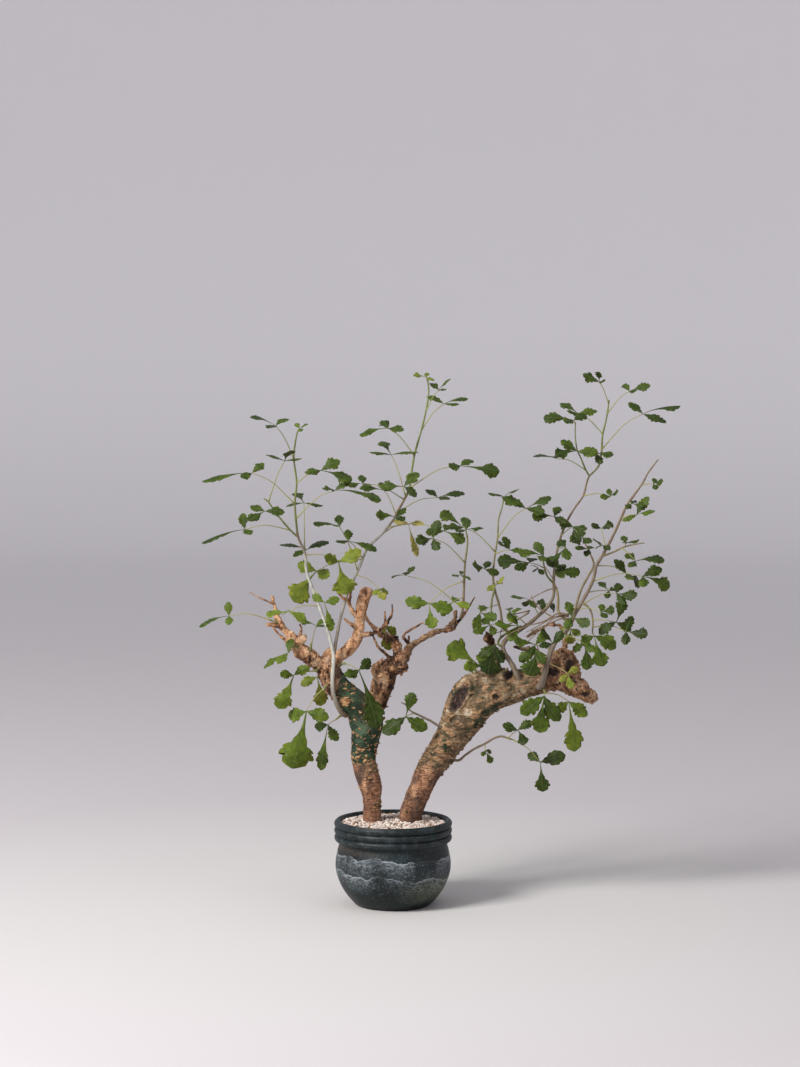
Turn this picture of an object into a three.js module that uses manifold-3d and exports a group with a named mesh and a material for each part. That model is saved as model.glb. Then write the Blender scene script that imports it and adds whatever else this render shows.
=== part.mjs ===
// A two-trunked Commiphora bonsai in a ridged, round-bellied dark stoneware pot.
// Millimetres, +Z up, +X to the right of the main view and +Y away from it.
// The origin is the centre of the pot's flat foot.
import * as THREE from 'three';
import { mergeVertices } from 'three/addons/utils/BufferGeometryUtils.js';
import Module from 'manifold-3d';

const wasm = await Module();
wasm.setup();

// Driving dimensions
const RIM_RADIUS = 65.5;
const POT_HEIGHT = 95.5;
const FOOT_RADIUS = 40.5;
const WALL = 5.5;
const SOIL_EDGE_Z = 90.5;
const SOIL_CROWN = 3.2;
const SOIL_BED_Z = 7;
const GAP = 0.35;
const BLADE_THICKNESS = 0.8;

// The eye that the main view is drawn from. Every point of the tree is drawn as the eye sees it, as
// x and z on the plane y = 0 through the pot, and then moved along the line of sight to its depth y.
const EYE = new THREE.Vector3(7.6, -3453, 717.9);
const UP = new THREE.Vector3(0, 0, 1);

// What the tree is made of
// Wood: limbs of a trunk as points [x, z, depth, radius].
const WOOD = {
  trunk_left: {
    main: [
      [-23, 62, 0, 8], [-23.5, 97, 0, 9.2], [-24, 118, 0, 10], [-25, 131, 0, 12.4], [-28, 142, 0, 13.4],
      [-31.5, 157, 0, 12.8], [-32.5, 170, 0, 13.4], [-30, 188, 0, 15], [-30, 203, 1, 17.5],
      [-37, 219, 1, 16],
      [-52, 233, 0, 14], [-64, 247, -1, 13.2], [-70, 262, -1, 12.4], [-70, 276, 0, 9], [-66, 285, 0, 5],
    ],
    right_limb: [
      [-32, 205, 2, 13], [-21, 222, 3, 11.5], [-14, 238, 4, 11.5], [-9.5, 252, 4, 12.8],
      [-6, 261, 4, 12],
      [2, 269, 3, 9.5], [5, 278, 2, 6],
    ],
    right_knot: [[0, 262, 0, 7], [10, 265, -2, 6.5], [14, 267, -3, 4.5]],
    hook: [[-18, 256, 0, 5], [-20, 265, -1, 3.4], [-16, 268, -2, 2.4], [-11, 276, -2, 1.1]],
    back_branch: [
      [4, 272, 2, 6.5], [5, 286, 4, 4.8], [1, 296, 6, 4.2], [-10, 300, 9, 3.6], [-20, 308, 12, 3],
      [-29, 319, 14, 2.2], [-34, 335, 15, 1.3],
    ],
    back_twig: [
      [3, 268, 0, 3], [-8, 280, -3, 1.8], [-16, 287, -4, 1.5], [-20, 295, -4, 1.2], [-25, 305, -3, 0.9],
    ],
    reaching_branch: [
      [5, 268, 1, 7], [14, 279, 0, 5], [18, 288, -1, 3.8], [27, 293, -3, 3.2], [43, 303, -5, 2.8],
      [57, 307, -7, 2.7], [64, 313, -8, 2.3], [68, 319, -8, 2.2], [69, 328, -8, 1.8],
    ],
    reaching_tip: [[56, 306, -7, 2.2], [65, 307, -9, 1.9], [72, 316, -11, 1.6], [80, 326, -13, 1.3],
      [90, 343, -16, 0.6]],
    reaching_spur: [[18, 286, -1, 2], [15, 294, -2, 1.8], [11, 300, -3, 1.3], [20, 307, -4, 1.2],
      [34, 315, -6, 0.9]],
    short_spur: [[17, 289, -2, 1.6], [17.5, 300, -3, 0.9]],
    pruned_stub: [
      [-66, 272, -1, 6], [-60, 277, -3, 6.2], [-48, 286, -4, 6], [-40, 297, -5, 6], [-37, 310, -5, 5.6],
      [-37, 323, -5, 6], [-33, 338, -5, 6], [-28, 351, -5, 6.6],
    ],
    stub_spur_left: [[-38, 318, -6, 3], [-46, 329, -8, 2.1], [-50, 339, -9, 1.8],
      [-58, 344, -10, 1.5], [-63, 355, -10, 0.8]],
    stub_spur_up: [[-49, 335, -9, 1.8], [-47, 346, -11, 1.3], [-46, 355, -12, 0.7]],
    stub_spur_low: [[-38, 306, -7, 2.6], [-46, 313, -9, 2], [-54, 319, -10, 1.2]],
    stub_spur_right: [
      [-35, 301, -6, 3], [-22, 303, -8, 2.1], [-11, 310, -9, 1.9], [-5, 317, -10, 1.8],
      [-1, 326, -11, 1.1], [-1, 335, -11, 0.6],
    ],
    stub_hook: [[-9, 313, -9, 1.6], [-9, 327, -10, 0.9]],
    far_limb: [
      [-68, 258, 0, 9], [-83, 269, -2, 8.4], [-96, 280, -3, 8.8], [-106, 289, -4, 7.4],
      [-113, 299, -5, 4.6],
      [-122, 310, -6, 3.7], [-128, 319, -7, 2.8], [-130, 331, -7, 1.9], [-134, 344, -7, 1.3],
    ],
    far_spur_side: [[-122, 311, -6, 3], [-140, 312.5, -8, 1.6]],
    far_spur_low: [[-104, 289, -4, 3.6], [-118, 294, -7, 2.2], [-126, 302, -9, 1.6],
      [-132, 309, -10, 1]],
    far_knob: [[-106, 291, -6, 4], [-98, 297, -10, 3.8], [-95, 297, -11, 2.6]],
    far_spur_up: [[-104, 294, -5, 2.4], [-101, 306, -6, 1.4], [-103, 313, -6, 0.8]],
    dry_twig: [[-132, 336, -7, 1.4], [-140, 339, -7, 0.9], [-158, 348, -8, 0.6]],
  },
  trunk_right: {
    main: [
      [14, 60, 5, 10], [19, 97, 4, 12], [24, 114, 3, 12.6], [31, 131, 2, 13.2], [39, 147, 1, 13.8],
      [48, 163, 0, 15], [60, 181, -1, 17], [72, 199, -2, 19.4], [85, 217, -3, 21.4],
      [101, 233, -3, 21.6],
      [120, 241, -2, 19.4], [140, 245, -1, 16.8], [158, 252, 0, 16.6], [175, 258, 1, 18.5],
      [190, 263, 2, 19.5],
      [197, 269, 3, 15],
    ],
    burl_top: [[184, 268, 0, 17], [193, 278, 0, 11.5]],
    burl_end: [[184, 256, 2, 14], [203, 243, 1, 11.5], [214, 235, 0, 7.5], [222, 230, -1, 5.8]],
    root_flare: [[18, 88, -4, 8], [15, 99, -5, 6.5], [20, 112, -3, 6]],
    shoulder: [[62, 204, -6, 9], [70, 219, -7, 14], [82, 238, -6, 15.5], [96, 246, -5, 14.5],
      [110, 250, -4, 12]],
    knot: [[110, 252, -12, 8], [125, 258, -14, 7.5]],
    broken_knob: [[117, 256, 3, 6], [112, 278, 2, 3.4], [106, 298, 0, 4.6], [104, 301, 0, 3]],
    dark_twig: [[168, 266, 6, 5], [160, 281, 5, 3.2], [145, 285, 5, 2], [133, 288, 6, 1.2]],
    back_twig: [[186, 275, 8, 5], [188, 288, 9, 2.4], [191, 303, 8, 1.8], [180, 313, 8, 1.6],
      [165, 309, 8, 1.4], [148, 299, 8, 0.9]],
  },
};

// Leafy stems. Each stem is a list of points [x, z, depth, radius], the first one inside what carries it.
// Each leaf is [x, z of the node it leaves from, x, z of its three leaflets' joint, depth of the joint from
// the node, x, z of the end leaflet's tip, x, z of one side leaflet's tip, x, z of the other's, degrees that
// its face is turned from lying flat towards the eye, size, the end leaflet's own turn where it differs].
const SPRAYS = {
  shoot_left: {
    stems: [
      [[-52, 211, -8, 3.2], [-59, 217, -15, 2.9], [-66, 236, -17.5, 2.6], [-67, 252, -18.5, 2.5],
        [-66, 267, -18, 2.4],
        [-66, 280, -18, 2.3], [-69, 294, -20, 2.1], [-76, 318, -24, 1.9], [-87, 348, -29, 1.8],
        [-95, 370, -33, 1.7],
        [-97, 391, -37, 1.7], [-104, 408, -40, 1.5], [-106, 420, -42, 1.3], [-108, 446, -46, 1.2],
        [-106, 470, -50, 1.1],
        [-109, 497, -54, 1], [-106, 521, -57, 0.9], [-103, 529, -58, 0.8]],
      [[-104, 409, -40, 1.2], [-113, 417, -42, 1.1], [-128, 435, -45, 1], [-137, 448, -48, 0.9],
        [-142, 452, -49, 0.7]],
    ],
    leaves: [
      [-104, 526, -103, 529, -2, -94, 533, -113, 529, -100, 526, 45, 0.5],
      [-109, 496, -129, 532, -14, -157, 541, -138, 529, -110, 538, 15, 1],
      [-137, 448, -119, 493, -6, -112, 505, -140, 500, -100, 496, 10, 0.9],
      [-108, 446, -155, 480, -12, -210, 471, -142, 491, -168, 476, 45, 0.9, 12],
      [-106, 469, -79, 483, -10, -45, 472, -98, 486, -57, 491, 50, 1],
      [-106, 430, -64, 461, -14, -13, 450, -77, 463, -44, 468, 40, 1, 22],
      [-97, 392, -98, 447, 16, -107, 458, -118, 443, -77, 444, 10, 0.9],
      [-113, 417, -163, 418, -10, -211, 403, -165, 436, -158, 412, 45, 0.9, 8],
      [-130, 437, -141, 438, -18, -159, 427, -157, 444, -119, 437, 50, 0.9],
      [-98, 393, -94, 396, 10, -125, 401, -113, 390, -66, 400, 15, 0.9],
      [-97, 390, -60, 382, 12, -51, 346, -35, 395, -76, 388, 75, 1.1],
      [-82, 333, -115, 327, -12, -140, 323, -121, 321, -93, 319, 40, 0.8],
      [-88, 351, -76, 337, -10, -68, 305, -83, 350, -59, 341, 60, 0.8],
    ],
  },
  shoot_centre: {
    stems: [
      [[-66, 276, -18, 2], [-62, 300, -15, 2], [-58, 320, -12, 1.9], [-49, 352, -4, 1.8],
        [-39, 372, 4, 1.7],
        [-28, 397, 14, 1.6], [-13, 412, 20, 1.5], [0, 428, 24, 1.4], [4, 436, 26, 1.4],
        [13, 452, 29, 1.4],
        [18, 464, 31, 1.3], [21, 485, 34, 1.2], [24, 502, 36, 1.2], [31, 527, 38, 1.1],
        [36, 548, 40, 1],
        [39, 568, 42, 0.9], [38, 583, 43, 0.7]],
    ],
    leaves: [
      [39, 578, 36, 585, -3, 22, 587, 46, 583, 38, 590, 40, 0.5],
      [36, 548, 50, 571, -8, 63, 583, 36, 575, 59, 574, 35, 0.7],
      [31, 527, 56, 556, 8, 82, 562, 35, 562, 73, 556, 20, 0.9],
      [23, 499, -5, 529, -12, -37, 522, 13, 531, -12, 538, 45, 1, 30],
      [14, 454, -2, 500, 10, -12, 515, -26, 503, 28, 503, 8, 1],
      [18, 463, 74, 488, 10, 117, 482, 61, 488, 88, 494, 45, 1, 35],
      [17, 460, 12, 465, -12, -14, 464, 33, 474, 28, 457, 50, 0.8],
      [12, 451, -33, 468, -10, -50, 466, -35, 478, -25, 466, 25, 0.8],
      [4, 434, -10, 461, 8, -37, 463, -14, 470, -3, 461, 30, 0.8],
      [5, 436, 49, 453, 10, 79, 457, 36, 462, 62, 451, 20, 0.9],
      [2, 431, 3, 431, -10, -19, 434, 13, 428, 19, 436, 40, 0.8],
      [-6, 420, 56, 416, -12, 79, 404, 36, 421, 62, 422, 60, 0.9],
      [-12, 412, 17, 424, 14, 27, 388, 4, 431, 31, 421, 30, 0.9],
      [-34, 385, -49, 405, -14, -18, 394, -63, 404, -50, 418, 20, 0.9],
      [-39, 372, -59, 421, -18, -88, 425, -66, 422, -60, 434, 20, 0.9],
      [-36, 386, -84, 372, -10, -110, 338, -70, 366, -105, 380, 75, 1.2],
      [-41, 368, -15, 352, -8, -11, 340, -5, 347, -19, 345, 60, 0.7],
    ],
  },
  shoot_mid: {
    stems: [
      [[74, 319, -12, 1.6], [77, 330, -14, 1.5], [78, 350, -16, 1.4], [79, 378, -20, 1.2],
        [82, 404, -24, 1], [80, 417, -26, 0.8]],
    ],
    leaves: [
      [78, 361, 40, 336, -14, 44, 308, 13, 339, 66, 329, 75, 1],
      [77, 330, 14, 367, 12, -1, 366, 24, 377, 18, 373, 15, 0.7],
      [77, 343, 65, 337, -12, 84, 331, 70, 342, 53, 322, 55, 0.8],
      [82, 410, 80, 417, -8, 99, 419, 70, 415, 82, 430, 25, 0.8],
      [79, 381, 44, 408, -16, 25, 404, 50, 395, 58, 424, 60, 0.9],
      [78, 364, 75, 367, -4, 66, 366, 80, 371, 86, 362, 25, 0.5],
    ],
  },
  branch_high: {
    stems: [
      [[142, 246, -9, 4], [138, 254, -16, 3.5], [134, 263, -17, 3.2], [129, 272, -16, 3],
        [123, 281, -14, 2.9],
        [121, 289, -11, 2.8], [126, 297, -7, 2.7], [134, 303, -3, 2.6], [148, 312, 3, 2.4],
        [161, 323, 8, 2.2],
        [171, 333, 12, 2], [177, 345, 16, 1.8], [177, 360, 20, 1.7], [178, 378, 24, 1.6],
        [181, 396, 28, 1.5],
        [185, 411, 31, 1.4], [192, 428, 34, 1.3], [200, 442, 37, 1.2], [209, 455, 40, 1.2],
        [213, 470, 42, 1.1],
        [216, 477, 43, 1.1], [223, 484, 45, 1.1], [227, 491, 46, 1.2], [229, 505, 48, 1.2],
        [230, 522, 50, 1.1],
        [234, 540, 52, 1], [237, 560, 54, 0.8]],
      [[216, 476, 43, 1], [211, 485, 42, 1], [206, 497, 40, 0.9], [202, 506, 39, 0.8],
        [200, 520, 38, 0.7], [200, 536, 37, 0.6]],
      [[177, 358, 19, 1.2], [170, 366, 17, 1.1], [167, 375, 15, 1], [165, 384, 14, 0.8]],
      [[121, 288, -10, 1.6], [116, 291, -8, 1.4], [118, 297, -6, 1.4], [127, 304, -2, 1.3],
        [141, 311, 4, 1.1]],
    ],
    leaves: [
      [237, 556, 226, 580, -8, 226, 591, 208, 589, 231, 581, 45, 0.6],
      [235, 545, 259, 570, -8, 282, 576, 252, 577, 266, 570, 40, 0.8],
      [229, 506, 274, 545, -12, 315, 554, 257, 557, 303, 541, 24, 1, 8],
      [230, 523, 203, 545, 8, 184, 557, 224, 548, 191, 548, 40, 0.9],
      [200, 534, 198, 538, -6, 165, 541, 188, 536, 214, 540, 50, 1],
      [202, 505, 202, 504, -10, 178, 500, 184, 516, 225, 509, 50, 1],
      [212, 483, 179, 496, -12, 154, 498, 186, 500, 170, 499, 15, 0.9],
      [228, 498, 222, 501, -12, 241, 499, 234, 493, 214, 506, 50, 0.8],
      [209, 455, 239, 454, -6, 247, 459, 227, 455, 237, 463, 55, 0.6],
      [192, 428, 177, 432, -10, 153, 432, 182, 443, 190, 425, 50, 0.9],
      [185, 411, 198, 421, -14, 203, 404, 189, 427, 212, 417, 60, 1],
      [181, 396, 190, 398, -16, 170, 378, 181, 405, 193, 384, 60, 1],
      [166, 380, 166, 388, -10, 138, 392, 156, 404, 162, 383, 45, 1],
      [167, 375, 150, 381, -14, 115, 384, 132, 377, 155, 386, 55, 1],
      [168, 372, 160, 374, -8, 154, 378, 155, 370, 166, 368, 45, 0.6],
      [178, 366, 178, 371, -10, 206, 371, 188, 364, 190, 379, 50, 0.9],
      [161, 323, 150, 340, -10, 130, 343, 157, 331, 146, 332, 20, 0.8],
      [172, 335, 168, 336, 12, 178, 328, 163, 330, 158, 335, 55, 0.7],
      [148, 312, 128, 327, -10, 140, 329, 119, 323, 134, 320, 45, 0.7],
      [141, 308, 138, 311, -14, 113, 312, 126, 323, 121, 299, 45, 1],
      [121, 289, 112, 290, -12, 105, 257, 96, 275, 122, 270, 80, 1],
    ],
  },
  shoot_slim: {
    stems: [
      [[130, 300, -3, 1.6], [121, 312, 8, 1.6], [118, 330, 14, 1.5], [112, 352, 18, 1.4],
        [110, 368, 20, 1.3],
        [112, 388, 22, 1.1], [115, 410, 25, 1], [116, 428, 28, 0.9], [120, 443, 30, 0.8],
        [122, 453, 32, 0.7]],
      [[112, 352, 18, 1.1], [109, 340, 12, 1.1], [108, 326, 8, 1]],
    ],
    leaves: [
      [112, 393, 77, 420, -14, 52, 437, 60, 421, 80, 431, 50, 1],
      [122, 452, 122, 454, -2, 138, 462, 104, 458, 139, 446, 15, 0.8],
      [115, 408, 146, 441, -12, 174, 453, 118, 450, 168, 446, 40, 1],
      [112, 391, 128, 395, -12, 116, 402, 121, 410, 143, 393, 35, 0.8],
      [110, 368, 101, 374, -10, 88, 378, 117, 369, 108, 381, 50, 0.8],
      [111, 360, 114, 357, -12, 122, 363, 119, 353, 103, 351, 60, 0.6],
      [116, 335, 96, 326, -10, 114, 318, 90, 306, 100, 334, 55, 0.9],
      [121, 313, 107, 312, -16, 89, 303, 98, 319, 112, 301, 60, 0.8],
    ],
  },
  branch_front: {
    stems: [
      [[160, 243, -10, 5], [164, 247, -18, 4.4], [167, 256, -20, 3.8], [170, 268, -21, 3.4],
        [173, 280, -22, 3.2],
        [179, 293, -23, 3], [188, 303, -25, 2.8], [195, 313, -27, 2.7], [201, 325, -30, 2.4],
        [209, 339, -33, 2.2],
        [216, 352, -36, 2], [221, 364, -38, 1.9], [224, 378, -40, 1.9], [230, 388, -43, 1.8],
        [236, 399, -46, 1.7],
        [244, 415, -50, 1.6], [251, 431, -54, 1.5], [258, 446, -57, 1.4], [273, 467, -62, 1.1],
        [280, 480, -65, 1],
        [291, 495, -68, 0.8]],
      [[198, 318, -27, 1.6], [203, 338, -20, 1.5], [208, 353, -16, 1.4], [216, 368, -14, 1.3],
        [221, 379, -13, 1.2],
        [217, 391, -12, 1], [211, 403, -11, 0.8]],
      [[195, 313, -27, 2], [187, 321, -20, 1.8], [182, 328, -14, 1.7], [182, 342, -8, 1.5],
        [180, 354, -3, 1.2]],
      [[230, 388, -43, 1.3], [243, 393, -47, 1.1], [253, 398, -50, 1], [264, 401, -53, 0.8],
        [277, 403, -56, 0.6]],
      [[208, 337, -33, 1.4], [216, 331, -35, 1.2], [220, 320, -37, 1.1], [220, 302, -39, 0.8]],
    ],
    leaves: [
      [273, 467, 286, 468, -4, 296, 470, 288, 474, 291, 463, 60, 0.6],
      [259, 448, 262, 446, -6, 275, 443, 256, 441, 266, 450, 40, 0.6],
      [251, 431, 268, 434, -10, 287, 437, 252, 427, 281, 454, 30, 0.9],
      [255, 399, 256, 402, -8, 270, 405, 248, 410, 262, 408, 30, 0.7],
      [234, 396, 229, 419, 10, 242, 424, 218, 423, 233, 431, 50, 0.6],
      [236, 399, 231, 400, -10, 221, 406, 224, 397, 239, 395, 45, 0.7],
      [215, 395, 216, 396, -8, 201, 396, 222, 397, 207, 390, 35, 0.7],
      [211, 402, 209, 409, -8, 196, 404, 218, 403, 205, 417, 60, 0.9],
      [252, 397, 267, 383, -10, 299, 384, 256, 391, 262, 376, 35, 0.9],
      [224, 378, 257, 369, 10, 272, 356, 243, 384, 263, 362, 50, 0.9],
      [221, 360, 275, 366, -10, 305, 354, 297, 373, 276, 354, 60, 1],
      [210, 336, 246, 347, -14, 269, 345, 250, 358, 262, 341, 55, 0.9],
      [214, 348, 238, 350, 10, 228, 360, 241, 342, 247, 352, 45, 0.7],
      [204, 330, 229, 326, -16, 244, 329, 232, 335, 238, 324, 60, 0.7],
      [220, 318, 246, 315, -8, 253, 341, 227, 302, 263, 306, 65, 0.9],
      [220, 310, 257, 305, -12, 281, 302, 256, 290, 264, 322, 60, 0.9],
      [220, 303, 222, 300, -8, 232, 266, 246, 286, 212, 291, 75, 1.1],
      [201, 325, 197, 321, -12, 217, 312, 184, 334, 190, 308, 65, 0.9],
      [188, 303, 196, 308, 14, 195, 291, 205, 300, 186, 305, 75, 0.8],
      [186, 301, 211, 291, -12, 214, 262, 203, 284, 220, 280, 65, 0.9],
      [171, 270, 193, 258, -12, 197, 241, 205, 264, 184, 249, 75, 0.7],
      [180, 294, 176, 291, -12, 163, 306, 187, 306, 160, 295, 50, 0.8],
      [175, 284, 157, 290, -8, 133, 294, 170, 303, 150, 277, 55, 0.9],
      [172, 276, 158, 284, -14, 149, 256, 140, 270, 164, 268, 80, 1],
    ],
  },
  leaves_under: {
    stems: [[[164, 246, -8, 3], [167, 239, -16, 1.6], [169, 236, -18, 1.2]]],
    leaves: [
      [168, 238, 167, 233, -2, 162, 192, 141, 213, 178, 202, 80, 1.2],
      [169, 237, 194, 227, 8, 201, 171, 180, 217, 215, 211, 75, 1],
    ],
  },
  twig_low_right: {
    stems: [
      [[62, 164, 0, 2.2], [72, 161, -1, 1.6], [80, 167, -3, 1.4], [90, 174, -5, 1.3],
        [102, 180, -7, 1.3], [112, 186, -9, 1.2],
        [120, 188, -10, 1.2], [127, 186, -11, 1.1], [133, 184, -12, 0.9]],
    ],
    leaves: [
      [127, 186, 138, 195, -6, 146, 179, 121, 201, 154, 205, 65, 0.9],
      [133, 184, 163, 159, 4, 166, 126, 155, 172, 191, 167, 70, 1],
      [102, 179, 102, 172, -4, 109, 158, 105, 167, 98, 166, 60, 0.5],
    ],
  },
  twig_low_left: {
    stems: [
      [[62, 194, -8, 2.4], [50, 200, -14, 1.6], [42, 205, -16, 1.5], [36, 208, -17, 1.4],
        [28, 212, -18, 1.2], [20, 216, -19, 1],
        [14, 223, -20, 0.8], [9, 226, -21, 0.7]],
    ],
    leaves: [
      [24, 214, 14, 210, -6, 22, 237, -8, 187, 38, 196, 75, 0.9],
    ],
  },
  leaf_big_low: {
    stems: [[[-66, 250, -6, 2.4], [-73, 245, -14, 1.6], [-76, 242, -16, 1.2]]],
    leaves: [[-75, 243, -96, 216, -4, -112, 152, -116, 211, -71, 209, 80, 1.3]],
  },
  leaf_low_pair: {
    stems: [[[-50, 212, -4, 2], [-58, 211, -6, 1.5], [-63, 207, -8, 1]]],
    leaves: [[-63, 207, -72, 201, -4, -80, 150, -87, 199, -61, 183, 70, 1]],
  },
  leaf_left_mid: {
    stems: [[[-80, 268, -2, 3], [-84, 262, -9, 1.6], [-88, 261, -11, 1.2]]],
    leaves: [[-88, 261, -110, 256, -4, -127, 219, -125, 257, -98, 272, 65, 0.9]],
  },
  leaf_behind: {
    stems: [[[-72, 256, 4, 3], [-80, 258, 12, 1.6], [-83, 256, 14, 1.2]]],
    leaves: [[-82, 257, -84, 254, 4, -80, 222, -102, 245, -66, 248, 75, 0.9]],
  },
  leaf_edge_on: {
    stems: [[[-104, 287, -6, 3], [-107, 288, -13, 1.4], [-109, 287, -14, 1.1]]],
    leaves: [[-108, 287, -116, 281, -6, -143, 264, -134, 273, -112, 297, 20, 0.9]],
  },
  leaf_far_left: {
    stems: [[[-124, 313, -6, 2], [-128, 315, -10, 1.2], [-134, 317, -12, 1]]],
    leaves: [[-134, 317, -181, 322, -8, -214, 310, -182, 338, -181, 312, 50, 0.8, 10]],
  },
  leaf_over_limb: {
    stems: [[[-92, 279, -4, 3], [-91, 287, -11, 1.6], [-90, 292, -12, 1.1]]],
    leaves: [[-90, 291, -85, 311, -2, -104, 318, -70, 315, -76, 310, 25, 0.7]],
  },
  leaf_at_fork: {
    stems: [[[-62, 266, -4, 3], [-56, 269, -12, 1.6], [-52, 269, -14, 1.2]]],
    leaves: [[-52, 269, -38, 262, -8, -18, 197, -53, 255, -25, 274, 75, 1.1]],
  },
  leaf_above_trunk: {
    stems: [[[92, 246, -8, 3], [91, 259, -12, 1.4], [92, 262, -13, 1.2]]],
    leaves: [[92, 261, 95, 267, -2, 60, 289, 78, 264, 100, 282, 70, 1.1]],
  },
  leaf_behind_branch: {
    stems: [[[-8, 300, 9, 2], [-8, 306, 14, 1.2], [-8, 309, 16, 1]]],
    leaves: [[-8, 309, -9, 311, 2, -4, 284, 2, 300, -14, 298, 75, 0.8]],
  },
};

// Colour, roughness and metalness of each kind of surface
const FINISH = {
  pot: new THREE.MeshStandardMaterial({ color: 0x2b3437, roughness: 0.6, metalness: 0 }),
  soil: new THREE.MeshStandardMaterial({ color: 0xc9b8a8, roughness: 0.95, metalness: 0 }),
  bark_left: new THREE.MeshStandardMaterial({ color: 0x7a5a42, roughness: 0.8, metalness: 0 }),
  bark_right: new THREE.MeshStandardMaterial({ color: 0x8a6f54, roughness: 0.8, metalness: 0 }),
  leaf: new THREE.MeshStandardMaterial({ color: 0x4f7236, roughness: 0.6, metalness: 0 }),
};

// A drawn point moved along the line of sight to its depth
function seen(x, z, depth) {
  const onPlane = new THREE.Vector3(x, 0, z);
  return onPlane.sub(EYE).multiplyScalar((depth - EYE.y) / -EYE.y).add(EYE);
}

// A repeatable number from 0 to 1 for a whole number
function chance(n) {
  const s = Math.sin(n * 12.9898 + 4.1414) * 43758.5453;
  return s - Math.floor(s);
}

// Solids and geometries
function solidOf(geometry) {
  const bare = new THREE.BufferGeometry().setAttribute('position', geometry.getAttribute('position'));
  bare.setIndex(geometry.index);
  const merged = mergeVertices(bare, 1e-4);
  return new wasm.Manifold(new wasm.Mesh({
    numProp: 3,
    vertProperties: new Float32Array(merged.attributes.position.array),
    triVerts: new Uint32Array(merged.index.array),
  }));
}

function geometryOf(solid) {
  const mesh = solid.getMesh();
  const positions = new Float32Array(mesh.numVert * 3);
  for (let i = 0; i < mesh.numVert; i++) {
    positions.set(mesh.vertProperties.subarray(i * mesh.numProp, i * mesh.numProp + 3), i * 3);
  }
  const geometry = new THREE.BufferGeometry();
  geometry.setAttribute('position', new THREE.BufferAttribute(positions, 3));
  geometry.setIndex(new THREE.BufferAttribute(mesh.triVerts, 1));
  geometry.computeVertexNormals();
  return geometry;
}

function closedMesh(vertices, triangles) {
  const geometry = new THREE.BufferGeometry();
  const numbers = vertices.flatMap((v) => v.toArray());
  geometry.setAttribute('position', new THREE.Float32BufferAttribute(numbers, 3));
  geometry.setIndex(triangles.flat());
  return solidOf(geometry);
}

// A closed tube through points with a radius each. lump(i, angle) scales the radius.
function tubeThrough(points, radii, sides, lump = () => 1) {
  const vertices = [];
  const triangles = [];
  let across = new THREE.Vector3(0, 1, 0);
  points.forEach((point, i) => {
    const before = points[Math.max(0, i - 1)];
    const after = points[Math.min(points.length - 1, i + 1)];
    const along = new THREE.Vector3().subVectors(after, before).normalize();
    across = across.clone().addScaledVector(along, -across.dot(along)).normalize();
    const side = new THREE.Vector3().crossVectors(along, across);
    for (let k = 0; k < sides; k++) {
      const angle = (2 * Math.PI * k) / sides;
      const reach = radii[i] * lump(i, angle);
      vertices.push(point.clone()
        .addScaledVector(across, Math.cos(angle) * reach)
        .addScaledVector(side, Math.sin(angle) * reach));
    }
  });
  for (let i = 0; i + 1 < points.length; i++) {
    for (let k = 0; k < sides; k++) {
      const a = i * sides + k;
      const b = i * sides + ((k + 1) % sides);
      triangles.push([a, b, b + sides], [a, b + sides, a + sides]);
    }
  }
  const last = (points.length - 1) * sides;
  for (let k = 1; k + 1 < sides; k++) {
    triangles.push([0, k + 1, k], [last, last + k, last + k + 1]);
  }
  return closedMesh(vertices, triangles);
}

// Wood and stems
const WOOD_SIDES = 8;
const SPUR_SIDES = 5;
const STEM_SIDES = 4;
const THICK_WOOD = 6;
// Radii are measured to the flats of a faceted limb's outline, half way between its corners and its sides
const FLATS = 1.04;
const BARK_LUMP = 0.07;

function limb(points, extra) {
  const places = points.map(([x, z, depth]) => seen(x, z, depth));
  const radii = points.map((p) => p[3] * FLATS + extra);
  const thick = Math.max(...radii) > THICK_WOOD;
  const lump = (i, angle) => 1 + (thick ? BARK_LUMP * Math.sin(3 * angle + i * 2.1) : 0);
  return tubeThrough(places, radii, thick ? WOOD_SIDES : SPUR_SIDES, lump);
}

function trunk(limbs, extra = 0) {
  return wasm.Manifold.union(Object.values(limbs).map((points) => limb(points, extra))).simplify(0.1);
}

function stemTube(points, extra = 0) {
  const places = points.map(([x, z, depth]) => seen(x, z, depth));
  return tubeThrough(places, points.map((p) => p[3] + extra), STEM_SIDES);
}

// The nearest place to a drawn point on the centre lines of a spray's stems
function nodeOn(stems, x, z) {
  let best = { far: Infinity };
  stems.forEach((points) => {
    for (let i = 0; i + 1 < points.length; i++) {
      const [ax, az, ay] = points[i];
      const [bx, bz, by] = points[i + 1];
      const length = (bx - ax) ** 2 + (bz - az) ** 2;
      const t = Math.min(1, Math.max(0, ((x - ax) * (bx - ax) + (z - az) * (bz - az)) / length));
      const px = ax + t * (bx - ax);
      const pz = az + t * (bz - az);
      const far = Math.hypot(px - x, pz - z);
      if (far < best.far) best = { far, x: px, z: pz, depth: ay + t * (by - ay) };
    }
  });
  return best;
}

// Leaves: a thin closed plate with four arms that meet at the joint: the stalk, the end leaflet and a pair
// of side leaflets
const END_LENGTH = 30;
const SIDE_LENGTH = 21;
const WIDEST_BLADE = 25;
const END_WIDTH = 0.58;
const SIDE_WIDTH = 0.66;
const STALK_WIDTH = 1.1;
const LONG_STALK = 28;
const LOBED_SIZE = 0.95;
const WEDGED_LENGTH = 34;
const DROOP = 0.25;
const SPREAD = 0.62;
// Outlines as [share of the length, share of the width]: a narrow wedge that ends blunt, or in three lobes
const BLUNT_OUTLINE = [[0.28, 0.16], [0.68, 1], [1, 0.5]];
const LOBED_OUTLINE = [[0.3, 0.16], [0.67, 1], [0.8, 0.86], [1, 0.3]];
const SIDE_OUTLINE = [[0.6, 1], [1, 0.42]];

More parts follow.
